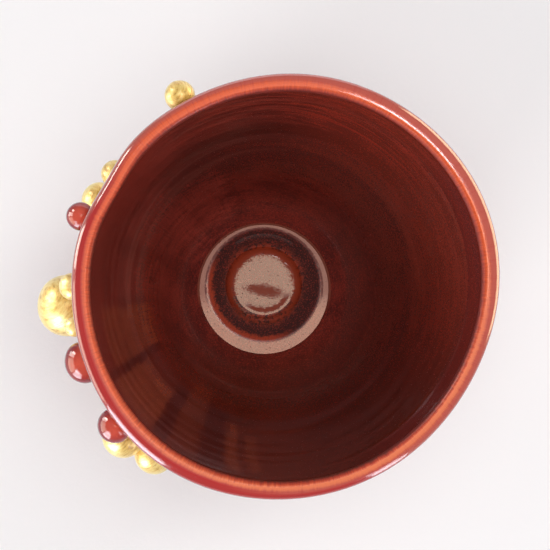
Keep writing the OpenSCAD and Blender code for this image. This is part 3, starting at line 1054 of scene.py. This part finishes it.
def polar(points: np.ndarray) -> tuple[np.ndarray, np.ndarray, np.ndarray]:
    """Gives the azimuths in radians, the radii and the heights of points."""
    return np.arctan2(points[:, 1], points[:, 0]), np.hypot(points[:, 0], points[:, 1]), points[:, 2]


def ramp(values: np.ndarray, start: float, end: float) -> np.ndarray:
    """Gives values as shares of the way from start to end, held between 0 and 1."""
    return np.clip((values - start) / (end - start), 0, 1)


def from_polar(azimuth: np.ndarray, radius: np.ndarray, height: np.ndarray) -> np.ndarray:
    """Gives the points at azimuths in radians, radii and heights."""
    return np.stack([radius * np.cos(azimuth), radius * np.sin(azimuth), height], axis=1)


@dataclass(frozen=True)
class HandWobble:
    """How far the handmade wall stands out around the cup, in millimetres."""

    oval: float = 0.73
    oval_azimuth: float = 39.0
    trefoil: float = 0.25
    trefoil_azimuth: float = 18.0
    ripple: float = 0.16
    ripple_azimuth: float = 12.0
    power: float = 1.3
    pinch: float = 1.2
    pinch_azimuth: float = 151.0
    pinch_spread: float = 11.0
    pinch_power: float = 2.6

    def at(self, azimuth: np.ndarray, climb: Any = 1.0) -> np.ndarray:
        """Gives how far the wall stands out.

        Args:
            azimuth: Azimuths in radians.
            climb: Heights, from 0 at the floor to 1 at the lip.

        Returns:
            The distances.
        """
        swell = (
            self.oval * np.cos(2 * (azimuth - math.radians(self.oval_azimuth)))
            + self.trefoil * np.cos(3 * (azimuth - math.radians(self.trefoil_azimuth)))
            + self.ripple * np.cos(5 * (azimuth - math.radians(self.ripple_azimuth)))
        )
        off = (np.degrees(azimuth) % 360 - self.pinch_azimuth) / self.pinch_spread
        return swell * climb**self.power - self.pinch * np.exp(-(off**2)) * climb**self.pinch_power


@dataclass(frozen=True)
class CupForm:
    """The cup's sizes in millimetres, and its outline as [radius, height, share of the wobble]."""

    height: float = 95.0
    mouth_d: float = 89.4
    heel_d: float = 57.0
    heel_swell: float = 5.0
    heel_rise: float = 9.0
    wall_lean: float = 4.1
    waist: float = 55.0
    lip_wall: float = 3.4
    crest_inset: float = 2.5
    lip_shoulder: float = 2.8
    shoulder_fullness: float = 0.78
    lip_inner_edge: float = 1.4
    inner_fullness: float = 0.6
    inner_lean: float = 4.1
    bowl_draw: float = 9.5
    bowl_rise: float = 6.9
    ledge: float = 10.6
    ledge_d: float = 34.3
    ledge_w: float = 2.7
    ledge_step: float = 0.5
    trough_depth: float = 1.8
    trough_d: float = 20.5
    dome_d: float = 17.4
    dome_rise: float = 1.2
    foot_d: float = 54.0
    foot_w: float = 5.0
    foot_h: float = 4.5
    foot_bevel: float = 0.6
    inside_follow: float = 0.6
    glaze_t: float = 0.4
    glaze_line: float = 9.0
    wall_samples: int = 96
    shoulder_samples: int = 14
    edge_samples: int = 10
    bowl_samples: int = 120
    slope_samples: int = 14
    climb_samples: int = 10
    dome_samples: int = 26
    recess_samples: int = 20
    wobble: HandWobble = field(default_factory=HandWobble)

    @staticmethod
    def curve(corners: list[list[float]], steps: int) -> np.ndarray:
        """Samples a cubic curve from its start up to, and without, its end.

        Args:
            corners: Its four control points.
            steps: Number of samples.

        Returns:
            The samples, one a row.
        """
        c = np.array(corners)
        t = (np.arange(steps) / steps)[:, None]
        return (1 - t) ** 3 * c[0] + 3 * (1 - t) ** 2 * t * c[1] + 3 * (1 - t) * t * t * c[2] + t**3 * c[3]

    @property
    def mouth_r(self) -> float:
        """Outside radius below the lip."""
        return self.mouth_d / 2

    @property
    def inside_r(self) -> float:
        """Inside radius below the lip."""
        return self.mouth_r - self.lip_wall

    @property
    def crest_r(self) -> float:
        """Radius of the lip's crest."""
        return self.mouth_r - self.crest_inset

    def outside(self) -> np.ndarray:
        """Outlines the outside, from the heel up to the crest.

        Returns:
            Points [radius, height, share of the wobble].
        """
        shoulder = self.height - self.lip_shoulder
        wall = self.curve([
            [self.heel_d / 2, self.foot_h, 1],
            [self.heel_d / 2 + self.heel_swell, self.foot_h + self.heel_rise, 1],
            [self.mouth_r - self.wall_lean, self.waist, 1],
            [self.mouth_r, shoulder, 1],
        ], self.wall_samples)
        lip = self.curve([
            [self.mouth_r, shoulder, 1],
            [self.mouth_r, shoulder + self.lip_shoulder * self.shoulder_fullness, 1],
            [self.crest_r + self.crest_inset * self.shoulder_fullness, self.height, 1],
            [self.crest_r, self.height, CREST_SHARE],
        ], self.shoulder_samples)
        return np.vstack([wall, lip])

    def inside(self) -> np.ndarray:
        """Outlines the inside, from the crest down to the floor's corner.

        Returns:
            Points [radius, height, share of the wobble].
        """
        edge = self.height - self.lip_inner_edge
        follow = self.inside_follow
        lip = self.curve([
            [self.crest_r, self.height, CREST_SHARE],
            [self.crest_r - (self.crest_r - self.inside_r) * self.inner_fullness, self.height, 0.8],
            [self.inside_r, edge + self.lip_inner_edge * self.inner_fullness, follow],
            [self.inside_r, edge, follow],
        ], self.edge_samples)
        floor = self.ledge + self.ledge_step
        wall = self.curve([
            [self.inside_r, edge, follow],
            [self.inside_r - self.inner_lean, self.waist, follow],
            [self.inside_r - self.bowl_draw, floor + self.bowl_rise, follow],
            [self.ledge_d / 2, floor, follow],
        ], self.bowl_samples)
        return np.vstack([lip, wall, [[self.ledge_d / 2, floor, 0]]])

    def floor(self) -> np.ndarray:
        """Outlines the bowl's floor, from the ledge to the middle: ledge, trough and flat-topped dome.

        Returns:
            Points [radius, height, share of the wobble].
        """
        outer = self.ledge_d / 2
        inner = outer - self.ledge_w
        low = self.ledge - self.trough_depth
        top = low + self.dome_rise
        crease = self.trough_d / 2 - 0.3
        dome = self.dome_d / 2
        ledge = [[outer - 0.06, self.ledge + 0.2, 0], [outer - 0.14, self.ledge, 0],
                 [outer - 0.9, self.ledge - 0.01, 0], [outer - 1.7, self.ledge - 0.02, 0],
                 [inner + 0.15, self.ledge - 0.03, 0]]
        slope = self.curve([[inner, self.ledge - 0.07, 0], [inner - 0.5, self.ledge - 0.25, 0],
                            [crease + 1.2, low + 0.4, 0], [crease, low, 0]], self.slope_samples)
        climb = self.curve([[crease - 0.1, low, 0], [crease - 0.5, low + 0.45, 0],
                            [dome + 0.1, top - 0.12, 0], [dome - 0.6, top - 0.02, 0]],
                           self.climb_samples)
        flat = [[r, top, 0] for r in np.linspace(dome - 0.75, 0, self.dome_samples)]
        return np.vstack([ledge, slope, climb, flat])

    def foot(self) -> np.ndarray:
        """Outlines the turned foot, from the middle of its recess out to the heel.

        Returns:
            Points [radius, height, share of the wobble].
        """
        outer = self.foot_d / 2
        inner = outer - self.foot_w
        bevel = self.foot_bevel
        recess = [[r, self.foot_h, 0] for r in np.linspace(0, inner - 1.2, self.recess_samples)]
        return np.array(
            recess
            + [[inner - 0.5, self.foot_h - 0.12, 0], [inner - 0.12, self.foot_h - 0.5, 0],
               [inner, self.foot_h - 1.2, 0], [inner, bevel * 1.6, 0], [inner + 0.08, bevel * 0.7, 0],
               [inner + bevel * 0.6, 0.08, 0], [inner + bevel * 1.4, 0, 0], [outer - bevel * 1.4, 0, 0],
               [outer - bevel * 0.6, 0.08, 0], [outer - 0.08, bevel * 0.7, 0], [outer, bevel * 1.6, 0],
               [outer, self.foot_h - 0.9, 0], [outer + 0.2, self.foot_h - 0.25, 0],
               [outer + 0.8, self.foot_h, 0]]
        )

    @staticmethod
    def offset(outline: np.ndarray, distance: float) -> np.ndarray:
        """Moves an outline out of the clay, which lies on its left.

        Args:
            outline: Points [radius, height, share].
            distance: Distance in millimetres.

        Returns:
            The moved outline.
        """
        along = np.gradient(outline[:, :2], axis=0)
        size = np.linalg.norm(along, axis=1)[:, None]
        normal = np.stack([along[:, 1], -along[:, 0]], axis=1) / size
        moved = outline.copy()
        moved[:, :2] += distance * normal
        return moved

    def wall_radius(self, azimuth: float, height: float) -> float:
        """Gives the clay's outside radius at an azimuth in radians and a height in millimetres.

        Args:
            azimuth: The azimuth.
            height: The height.

        Returns:
            The radius in millimetres.
        """
        wall = self.outside()
        base = float(np.interp(height, wall[:, 1], wall[:, 0]))
        return base + float(self.wobble.at(np.array([azimuth]), self.climb(np.array([height])))[0])

    def climb(self, height: np.ndarray) -> np.ndarray:
        """Gives heights in millimetres as shares of the way from the ledge up to the lip."""
        return np.clip(height - self.ledge, 0, None) / (self.height - self.ledge)

    def wobbled(self, points: np.ndarray, share: np.ndarray) -> np.ndarray:
        """Moves turned points out to where the hand left them.

        Args:
            points: Points in millimetres.
            share: How much of the lip's wobble each follows.

        Returns:
            The moved points.
        """
        azimuth, radius, height = polar(points)
        return from_polar(azimuth, radius + share * self.wobble.at(azimuth, self.climb(height)), height)


@dataclass(frozen=True)
class ThrowingMarks:
    """Finger ridges that spiral up the wall, as depths in millimetres into the clay."""

    pitch: float = 8.6
    depth: float = 0.028
    fine_pitch: float = 2.9
    fine_depth: float = 0.004

    def at(self, azimuth: np.ndarray, height: np.ndarray) -> np.ndarray:
        """Gives the depth of the marks, 0 or more, at azimuths in radians and heights.

        Args:
            azimuth: Azimuths in radians.
            height: Heights in millimetres.

        Returns:
            The depths in millimetres.
        """
        climb = height + azimuth / (2 * math.pi) * self.pitch
        strength = (0.5 + 0.3 * np.sin(height / 7.0 + 2 * np.sin(azimuth + 0.7))
                    + 0.2 * np.sin(3 * azimuth - height / 5.0))
        drift = 0.9 * np.sin(2 * azimuth) + 0.7 * np.sin(height / 6.0)
        ridge = 0.5 + 0.5 * np.sin(2 * math.pi * climb / self.pitch + drift)
        fine = 0.5 + 0.5 * np.sin(2 * math.pi * (height / self.fine_pitch + azimuth / (2 * math.pi))
                                  + 1.3 * np.sin(azimuth + height / 9.0))
        return self.depth * strength * ridge + self.fine_depth * fine


@dataclass(frozen=True)
class Furrow:
    """A soft furrow, or a swell where its depth is negative: its place, half its width and its depth."""

    place: float
    half_width: float
    depth: float

    def at(self, where: np.ndarray) -> np.ndarray:
        """Gives the depth at places measured as its own is."""
        return self.depth * np.exp(-(((where - self.place) / self.half_width) ** 2))


# Applied balls


@dataclass(frozen=True)
class Ball:
    """One applied ball: where it sits and how large it is, in degrees and millimetres."""

    node: str
    lustre: Lustre
    azimuth: float
    drop: float
    d: float
    press: float
    length: Optional[float] = None

    def centre(self, form: CupForm) -> np.ndarray:
        """Gives the ball's centre in millimetres.

        Args:
            form: The cup's form.

        Returns:
            The centre.
        """
        turn = math.radians(self.azimuth)
        height = form.height - self.drop
        reach = form.wall_radius(turn, height) + self.d / 2 - self.press
        return np.array([reach * math.cos(turn), reach * math.sin(turn), height])

    def gap(self, points: np.ndarray, form: CupForm) -> np.ndarray:
        """Gives the distance in millimetres from points to the ball's surface, negative inside it.

        Args:
            points: Points in millimetres.
            form: The cup's form.

        Returns:
            One distance a point.
        """
        turn = math.radians(self.azimuth)
        local = points - self.centre(form)
        around = local @ np.array([-math.sin(turn), math.cos(turn), 0])
        longer = (self.length or self.d) / self.d
        squeezed = np.linalg.norm(local, axis=1) ** 2 - around**2 + (around / longer) ** 2
        return np.sqrt(np.clip(squeezed, 0, None)) - self.d / 2


BALLS = (
    Ball("gold_ball_1", Lustre.GOLD, 118.8, 7.0, 6.7, 0.7),
    Ball("gold_ball_2", Lustre.GOLD, 145.5, 23.5, 6.4, 0.5),
    Ball("gold_ball_3", Lustre.GOLD, 154.0, 28.0, 8.1, 0.4),
    Ball("gold_ball_4", Lustre.GOLD, 185.0, 29.5, 14.1, 1.0),
    Ball("gold_ball_5", Lustre.GOLD, 180.0, 15.0, 6.1, 0.9),
    Ball("gold_ball_6", Lustre.GOLD, 191.0, 8.5, 4.3, 0.7),
    Ball("gold_ball_7", Lustre.GOLD, 223.5, 17.0, 9.4, 0.8),
    Ball("gold_ball_8", Lustre.GOLD, 233.0, 20.0, 8.9, 1.6),
    Ball("gold_ball_9", Lustre.GOLD, 242.5, 30.0, 6.8, 1.4),
    Ball("gold_ball_10", Lustre.GOLD, 233.5, 31.0, 8.4, 0.9),
    Ball("gold_ball_11", Lustre.GOLD, 223.0, 41.0, 9.6, 0.9),
    Ball("red_ball_1", Lustre.RED, 161.0, 11.0, 6.3, 0.5),
    Ball("red_ball_2", Lustre.RED, 201.0, 18.0, 8.1, 0.8, 9.4),
    Ball("red_ball_3", Lustre.RED, 219.5, 9.5, 7.7, 1.7),
)


@dataclass
class AppliedBalls:
    """The rolled balls, each a little uneven and flattened where it sits."""

    form: CupForm
    cuts: int = 31
    unevenness: float = 0.035
    phase_step: float = 1.7
    lump_axes: tuple[Triple, ...] = ((0.8, -0.6, 0), (0.48, 0.64, -0.6), (0.36, 0.48, 0.8))

    def build(self) -> list[bpy.types.Object]:
        """Builds and dresses every ball.

        Returns:
            The finished pieces.
        """
        finishes = {Lustre.GOLD: GoldFinish().material(), Lustre.RED: RedFinish().material()}
        return [self._ball(number, ball, finishes[ball.lustre]) for number, ball in enumerate(BALLS)]

    def _ball(self, number: int, ball: Ball, material: bpy.types.Material) -> bpy.types.Object:
        """Rolls, seats and dresses one ball.

        Args:
            number: Its place in the list, which moves its unevenness.
            ball: Its place and size.
            material: Its material.

        Returns:
            The finished piece.
        """
        Bench.clear()
        bpy.ops.mesh.primitive_cube_add(size=ball.d * MM, location=(0, 0, 0))
        piece = bpy.context.object
        piece.name = f"applied_{ball.node}"
        piece.data.name = piece.name
        bpy.ops.object.mode_set(mode="EDIT")
        bpy.ops.mesh.select_all(action="SELECT")
        bpy.ops.mesh.subdivide(number_cuts=self.cuts)
        bpy.ops.object.mode_set(mode="OBJECT")
        Bench.apply(piece, "CAST", cast_type="SPHERE", factor=1.0, radius=ball.d / 2 * MM,
                    use_radius_as_size=False)
        self._roll(piece, ball, number)
        self._seat(piece, ball)
        Bench.finish(piece, material, ball.lustre.value, ball.node, 40)
        return piece

    def _roll(self, piece: bpy.types.Object, ball: Ball, number: int) -> None:
        """Leaves the ball as uneven as one rolled between the palms, and stretches an oval one.

        Args:
            piece: The piece.
            ball: Its place and size.
            number: Its place in the list.
        """
        points = Bench.points(piece)
        unit = points / np.linalg.norm(points, axis=1)[:, None]
        turned = unit @ np.array(self.lump_axes)
        phase = number * self.phase_step
        lumps = (np.sin(2.3 * turned[:, 0] + phase) * np.sin(2.9 * turned[:, 1] + 2 * phase)
                 + 0.6 * np.sin(4.1 * turned[:, 2] + 3 * phase) * np.sin(3.7 * turned[:, 0] - phase))
        radius = ball.d / 2 * MM * (1 - self.unevenness * (lumps + 1.6) / 3.2)
        longer = (ball.length or ball.d) / ball.d
        Bench.push(piece, unit * radius[:, None] * np.array([1, longer, 1]))
        Bench.note(piece, "crown", unit[:, 2])

    def _seat(self, piece: bpy.types.Object, ball: Ball) -> None:
        """Puts the ball on the wall and cuts away what would lie inside the clay.

        Args:
            piece: The piece.
            ball: Its place and size.
        """
        centre = Vector(ball.centre(self.form) * MM)
        turn = math.radians(ball.azimuth)
        Bench.edit(piece)
        bpy.ops.mesh.select_all(action="SELECT")
        bpy.ops.transform.translate(value=centre)
        points = bmesh.from_edit_mesh(piece.data).verts
        spin = Quaternion((0, 0, 1), turn)
        for point in points:
            point.co = centre + spin @ (point.co - centre)
        out = Vector((math.cos(turn), math.sin(turn), 0))
        cut = centre - out * (ball.d / 2 - ball.press * 0.5) * MM
        bpy.ops.mesh.bisect(plane_co=cut, plane_no=out, use_fill=True, clear_inner=True, threshold=CLOSE)
        bpy.ops.mesh.select_all(action="SELECT")
        bpy.ops.mesh.normals_make_consistent(inside=False)
        bpy.ops.object.mode_set(mode="OBJECT")


# Clay and glaze


@dataclass
class ThrownCup:
    """The clay cup and its two coats of glaze."""

    form: CupForm
    marks: ThrowingMarks = field(default_factory=ThrowingMarks)
    steps: int = 288
    fillet: float = 1.5
    pool_reach: float = 1.3
    rounds: int = 12
    rows_at_once: int = 4000
    belly: Furrow = Furrow(45, 4.0, -0.09)
    thumb_groove: Furrow = Furrow(84.5, 0.9, 0.12)
    dome_arc: Furrow = Furrow(6.1, 0.75, 0.05)
    dent_depth: float = 0.04
    skin: float = 0.08
    bead: tuple[tuple[float, float], ...] = ((-0.02, -0.75), (0.2, -0.9), (0.45, -0.75), (0.58, -0.4))
    edge_waves: tuple[Triple, ...] = ((0.45, 3, 0.4), (0.3, 7, 1.9), (0.18, 13, 0.3))
    splits: tuple[float, ...] = (3.2 * 0.6, 2.4 * 0.6)

    def build(self) -> list[bpy.types.Object]:
        """Builds and dresses the clay, the liner and the outer coat.

        Returns:
            The finished pieces.
        """
        return [self._clay(), self._liner(), self._outer()]

    def _rows(self, piece: bpy.types.Object, outline: np.ndarray) -> np.ndarray:
        """Finds the outline point that each turned vertex came from.

        Args:
            piece: The turned piece.
            outline: The outline in millimetres.

        Returns:
            One outline index a vertex.
        """
        flat = np.stack(polar(Bench.points(piece) / MM)[1:], axis=1)
        rows = np.empty(len(flat), int)
        for start in range(0, len(flat), self.rows_at_once):
            some = slice(start, start + self.rows_at_once)
            rows[some] = ((flat[some, None, :] - outline[None, :, :2]) ** 2).sum(axis=2).argmin(axis=1)
        return rows

    def _from_crest(self, points: np.ndarray) -> np.ndarray:
        """Gives the distance in millimetres over the lip from its crest, positive on the outside.

        Args:
            points: Points in millimetres.

        Returns:
            One distance a point.
        """
        azimuth, radius, height = polar(points)
        crest = self.form.crest_r + self.form.wobble.at(azimuth) * CREST_SHARE
        across = radius - crest
        down = self.form.height + self.form.glaze_t - height
        return np.sign(across) * np.hypot(across, np.clip(down, 0, None))

    def _clay(self) -> bpy.types.Object:
        """Turns the clay body with its foot.

        Returns:
            The finished piece.
        """
        form = self.form
        outline = np.vstack([form.foot(), form.outside(), form.inside(), form.floor()])
        piece = Bench.turn("thrown_clay_body", outline[:, :2] * MM, self.steps)
        rows = self._rows(piece, outline)
        points = form.wobbled(Bench.points(piece) / MM, outline[rows, 2])
        floor = rows >= len(outline) - len(form.floor())
        points[floor] = self._off_centre(points[floor])
        points[:, 2] = points[:, 2].clip(0)
        Bench.push(piece, points * MM)
        Bench.finish(piece, ClayFinish().material(), "clay", "clay_body", 50)
        return piece

    def _liner(self) -> bpy.types.Object:
        """Turns the inside's coat, with the finger ridges that show through it.

        Returns:
            The finished piece.
        """
        form = self.form
        clay = np.vstack([form.inside(), form.floor()])
        face = form.offset(clay, form.glaze_t)
        face[-1, 0] = 0
        face[0, 0] = clay[0, 0]
        back = clay[::-4]
        back[0] = clay[-1]
        outline = np.vstack([face[::-1], clay[:1], back[::-1][1:]])
        piece = Bench.turn("oxblood_liner", outline[:, :2] * MM, self.steps)
        rows = self._rows(piece, outline)
        points = form.wobbled(Bench.points(piece) / MM, outline[rows, 2])
        shown = rows < len(face)
        points[shown] = self._thrown_floor(self._thrown_inside(points[shown]))
        Bench.push(piece, points * MM)
        Bench.note(piece, "from_crest", self._from_crest(points))
        Bench.note(piece, "around", np.degrees(polar(points)[0]) % 360)
        Bench.finish(piece, LinerFinish().material(), "liner_glaze", "liner_glaze", 60)
        return piece

    def _thrown_inside(self, points: np.ndarray) -> np.ndarray:
        """Presses finger ridges, a broad swell and a thumb groove into the inside.

        Args:
            points: Points in millimetres.

        Returns:
            The moved points.
        """
        azimuth, radius, height = polar(points)
        lip = self.form.height
        wall = ramp(height, 16, 26) * ramp(height, lip - 3, lip - 7)
        groove = self.thumb_groove.at(height) * np.clip(np.cos(azimuth - 0.1), 0, 1)
        depth = self.marks.at(azimuth, height) + self.belly.at(height) + groove
        return from_polar(azimuth, radius + wall * depth, height)

    def _thrown_floor(self, points: np.ndarray) -> np.ndarray:
        """Leaves the floor's trough and dome off centre, with the last finger's arc and dent on the dome.

        Args:
            points: Points in millimetres.

        Returns:
            The moved points.
        """
        azimuth, radius, _ = polar(points)
        arc = self.dome_arc.at(radius) * np.clip(np.cos(azimuth + math.pi / 2 - 0.12), 0, 1) ** 0.7
        across, along = points[:, 1] + 1.7 - 0.1 * points[:, 0], points[:, 0] + 0.4
        dent = self.dent_depth * np.exp(-((across / 1.2) ** 2) - (along / 3.6) ** 2)
        moved = self._off_centre(points)
        moved[:, 2] -= np.where(radius < self.form.dome_d / 2, arc + dent, 0)
        return moved

    def _off_centre(self, points: np.ndarray) -> np.ndarray:
        """Moves the floor's trough and dome off the cup's axis.

        Args:
            points: Points in millimetres.

        Returns:
            The moved points.
        """
        inward = np.clip((self.form.ledge_d / 2 - polar(points)[1]) / self.form.ledge_w, 0, 1)
        moved = points.copy()
        moved[:, 1] += FLOOR_SHIFT * inward * inward * (3 - 2 * inward)
        return moved

    def _edge_height(self, azimuth: np.ndarray) -> np.ndarray:
        """Gives how far the outer coat's lower edge runs above or below its line, in millimetres."""
        return sum(height * np.sin(count * azimuth + start) for height, count, start in self.edge_waves)

    def _outer(self) -> bpy.types.Object:
        """Turns the outside's coat, with its rolled lower edge and the glaze drawn up to each ball.

        Returns:
            The finished piece.
        """
        form = self.form
        clay = form.outside()
        clay = np.vstack([clay[clay[:, 1] >= form.glaze_line], [[form.crest_r, form.height, CREST_SHARE]]])
        face = form.offset(clay, form.glaze_t)
        face[-1, 0] = form.crest_r
        bead = np.array([[clay[0, 0] + out, clay[0, 1] + up, 1] for out, up in self.bead])
        outline = np.vstack([clay[:1], bead, face, clay[::-1]])
        piece = Bench.turn("crimson_outer_glaze", outline[:, :2] * MM, self.steps)
        self._refine(piece)
        points = Bench.points(piece) / MM
        shown = self._is_face(points, clay)
        share = np.interp(points[:, 2], clay[:, 1], clay[:, 2])
        points = form.wobbled(points, share)
        near_edge = ramp(points[:, 2], form.glaze_line + 3, form.glaze_line)
        points[:, 2] += near_edge * self._edge_height(polar(points)[0])
        points[shown] = self._thrown_outside(points[shown])
        points[shown] = self._drawn_up(points[shown])
        Bench.push(piece, points * MM)
        Bench.note(piece, "from_crest", np.abs(self._from_crest(points)))
        Bench.note(piece, "pooled", self._pooled(points))
        Bench.finish(piece, OuterFinish().material(), "outer_glaze", "outer_glaze", 80)
        return piece

    def _is_face(self, points: np.ndarray, clay: np.ndarray) -> np.ndarray:
        """Flags the points on the coat's outer face, and not on the clay behind it.

        Args:
            points: Points in millimetres.
            clay: The clay's outline.

        Returns:
            One flag a point.
        """
        _, radius, height = polar(points)
        behind = np.interp(height, clay[:, 1], clay[:, 0])
        return radius > behind + self.form.glaze_t * 0.4

    def _refine(self, piece: bpy.types.Object) -> None:
        """Splits the faces round every ball, so that the glaze can climb to it.

        Args:
            piece: The piece.
        """
        for reach in self.splits:
            centres = Bench.centres(piece) / MM
            Bench.pick_faces(piece, np.any([ball.gap(centres, self.form) < reach for ball in BALLS], axis=0))
            bpy.ops.mesh.subdivide(number_cuts=1)
            bpy.ops.object.mode_set(mode="OBJECT")

    def _thrown_outside(self, points: np.ndarray) -> np.ndarray:
        """Leaves shallow finger ridges on the outside.

        Args:
            points: Points in millimetres.

        Returns:
            The moved points.
        """
        azimuth, radius, height = polar(points)
        lip = self.form.height
        wall = ramp(height, 12, 18) * ramp(height, lip - 4, lip - 9)
        inset = self.skin * ramp(height, lip, lip - 1.5)
        return from_polar(azimuth, radius - inset - wall * self.marks.at(azimuth, height), height)

    def _drawn_up(self, points: np.ndarray) -> np.ndarray:
        """Draws the glaze up into a fillet round every ball.

        Args:
            points: Points in millimetres.

        Returns:
            The moved points.
        """
        out = from_polar(polar(points)[0], np.ones(len(points)), np.zeros(len(points)))
        lift = np.zeros(len(points))
        for ball in BALLS:
            climb = np.zeros(len(points))
            for _ in range(self.rounds):
                gap = ball.gap(points + out * climb[:, None], self.form)
                climb = np.clip(self.fillet - np.abs(climb - gap), 0, None) ** 2 / (4 * self.fillet)
            inside = ball.gap(points, self.form) < 0
            climb[inside] = self.fillet / 4
            lift = np.maximum(lift, climb)
        return points + out * lift[:, None]

    def _pooled(self, points: np.ndarray) -> np.ndarray:
        """Gives how thick the glaze has pooled, 0 to 1, above the foot and round the balls.

        Args:
            points: Points in millimetres.

        Returns:
            One thickness a point.
        """
        height = points[:, 2] - self._edge_height(polar(points)[0])
        pooled = ramp(height, self.form.glaze_line + 1.6, self.form.glaze_line - 0.8)
        for ball in BALLS:
            pooled = np.maximum(pooled, 0.7 * ramp(ball.gap(points, self.form), self.pool_reach, 0))
        return pooled


# Studio


@dataclass(frozen=True)
class Softbox:
    """A soft light: where it hangs about the cup, how large and how bright it is."""

    name: str
    azimuth: float
    elevation: float
    distance: float
    width: float
    depth: float
    power: float
    colour: Colour
    use: Light

    def build(self, aim: Vector) -> None:
        """Hangs the light so that it faces a point.

        Args:
            aim: The point in metres.
        """
        azimuth, elevation = math.radians(self.azimuth), math.radians(self.elevation)
        out = Vector((math.cos(elevation) * math.cos(azimuth), math.cos(elevation) * math.sin(azimuth),
                      math.sin(elevation)))
        lamp = bpy.data.lights.new(self.name, "AREA")
        lamp.shape = "RECTANGLE"
        lamp.size = self.width
        lamp.size_y = self.depth
        lamp.energy = self.power
        lamp.color = self.colour
        holder = bpy.data.objects.new(self.name, lamp)
        holder.location = aim + out * self.distance
        holder.rotation_mode = "QUATERNION"
        holder.rotation_quaternion = out.to_track_quat("Z", "Y")
        holder.visible_diffuse = self.use is Light.FILL
        holder.visible_glossy = self.use is Light.SHINE
        bpy.context.scene.collection.objects.link(holder)
        log.info("light %s", self.name)


@dataclass
class Studio:
    """Camera, lights, world and floor."""

    form: CupForm
    distance: float = 350.0
    rim_x: float = 2.43
    rim_y: float = -2.22
    down: Triple = (-0.0626, -0.0187, -1.0)
    lens: float = 109.5
    sensor: float = 36.0
    aim_share: float = 0.7
    room: Colour = srgb(232, 231, 236)
    room_strength: float = 0.56
    floor_size: float = 4.0
    floor_cuts: int = 7
    softboxes: tuple[Softbox, ...] = (
        Softbox("overhead_bank", 0, 89, 0.95, 0.5, 0.5, 3.4, (1.0, 0.99, 0.97), Light.FILL),
        Softbox("left_bank", 232, 36, 0.7, 0.3, 0.3, 1.3, (1.0, 0.99, 0.98), Light.FILL),
        Softbox("right_bank", 36, 46, 0.75, 0.25, 0.3, 0.9, (1.0, 0.98, 0.95), Light.FILL),
        Softbox("ceiling_lamp", 9, 86, 0.95, 0.24, 0.24, 1.16, (1.0, 0.6, 0.42), Light.SHINE),
        Softbox("crest_window", 45, 75, 0.9, 0.13, 0.05, 0.65, (1.0, 0.94, 1.0), Light.SHINE),
        Softbox("crest_lamp", 15, 76, 0.9, 0.13, 0.05, 0.42, (1.0, 0.8, 0.62), Light.SHINE),
        Softbox("crest_glint", 130, 72, 0.9, 0.04, 0.06, 0.1, (1.0, 0.95, 1.0), Light.SHINE),
        Softbox("left_window", 228, 27, 0.6, 0.2, 0.2, 0.9, (0.86, 0.92, 1.0), Light.SHINE),
        Softbox("left_sill", 226, 11, 0.132, 0.055, 0.07, 0.14, (0.84, 0.92, 1.0), Light.SHINE),
        Softbox("side_sill", 195, 11, 0.132, 0.08, 0.07, 0.09, (1.0, 0.9, 0.74), Light.SHINE),
        Softbox("upper_left_window", 144, 15, 0.5, 0.08, 0.2, 0.85, (1.0, 0.98, 0.9), Light.SHINE),
        Softbox("middle_left_sill", 167, 11, 0.132, 0.035, 0.07, 0.075, (1.0, 0.98, 0.9), Light.SHINE),
        Softbox("low_window", 303, 28, 0.6, 0.09, 0.3, 0.6, (0.9, 0.92, 1.0), Light.SHINE),
        Softbox("low_sill", 303, 14, 0.134, 0.026, 0.06, 0.04, (0.9, 0.92, 1.0), Light.SHINE),
        Softbox("right_sill", 20, 11, 0.132, 0.18, 0.07, 0.32, (1.0, 0.84, 0.52), Light.SHINE),
        Softbox("upper_sill", 95, 2, 0.132, 0.15, 0.05, 0.03, (0.9, 0.86, 0.96), Light.SHINE),
    )

    def build(self) -> None:
        """Sets up the studio."""
        self._camera()
        aim = Vector((0, 0, self.form.height * self.aim_share * MM))
        for softbox in self.softboxes:
            softbox.build(aim)
        self._world()
        self._floor()

    def _camera(self) -> None:
        """Places the camera where the photograph was taken from, looking into the mouth."""
        lens = bpy.data.cameras.new("photo_camera")
        lens.lens = self.lens
        lens.sensor_width = self.sensor
        lens.clip_start = 0.01
        holder = bpy.data.objects.new("photo_camera", lens)
        turn = Vector(self.down).normalized().rotation_difference(Vector((0, 0, -1)))
        rim = Vector((self.rim_x, self.rim_y, -self.distance)) * MM
        holder.rotation_mode = "QUATERNION"
        holder.rotation_quaternion = turn
        holder.location = Vector((0, 0, self.form.height * MM)) - turn @ rim
        bpy.context.scene.collection.objects.link(holder)
        bpy.context.scene.camera = holder

    def _world(self) -> None:
        """Fills the room with dim even light."""
        world = bpy.data.worlds.new("studio_room")
        world.use_nodes = True
        background = next(n for n in world.node_tree.nodes if n.type == "BACKGROUND")
        background.inputs["Color"].default_value = (*self.room, 1.0)
        background.inputs["Strength"].default_value = self.room_strength
        bpy.context.scene.world = world

    def _floor(self) -> None:
        """Lays the pale backdrop paper under the cup."""
        Bench.clear()
        bpy.ops.mesh.primitive_plane_add(size=self.floor_size, location=(0, 0, 0))
        paper = bpy.context.object
        paper.name = "backdrop_paper"
        bpy.ops.object.mode_set(mode="EDIT")
        bpy.ops.mesh.select_all(action="SELECT")
        bpy.ops.mesh.subdivide(number_cuts=self.floor_cuts)
        bpy.ops.object.mode_set(mode="OBJECT")
        paper.data.materials.append(FloorFinish().material())


def main() -> None:
    """Builds the studio, the cup and its balls, in order."""
    logging.basicConfig(level=logging.INFO, format="%(message)s")
    scene = bpy.context.scene
    scene.view_settings.view_transform = "Standard"
    form = CupForm()
    Studio(form).build()
    pieces = ThrownCup(form).build() + AppliedBalls(form).build()
    log.info("%d pieces", len(pieces))


if __name__ == "__main__":
    main()
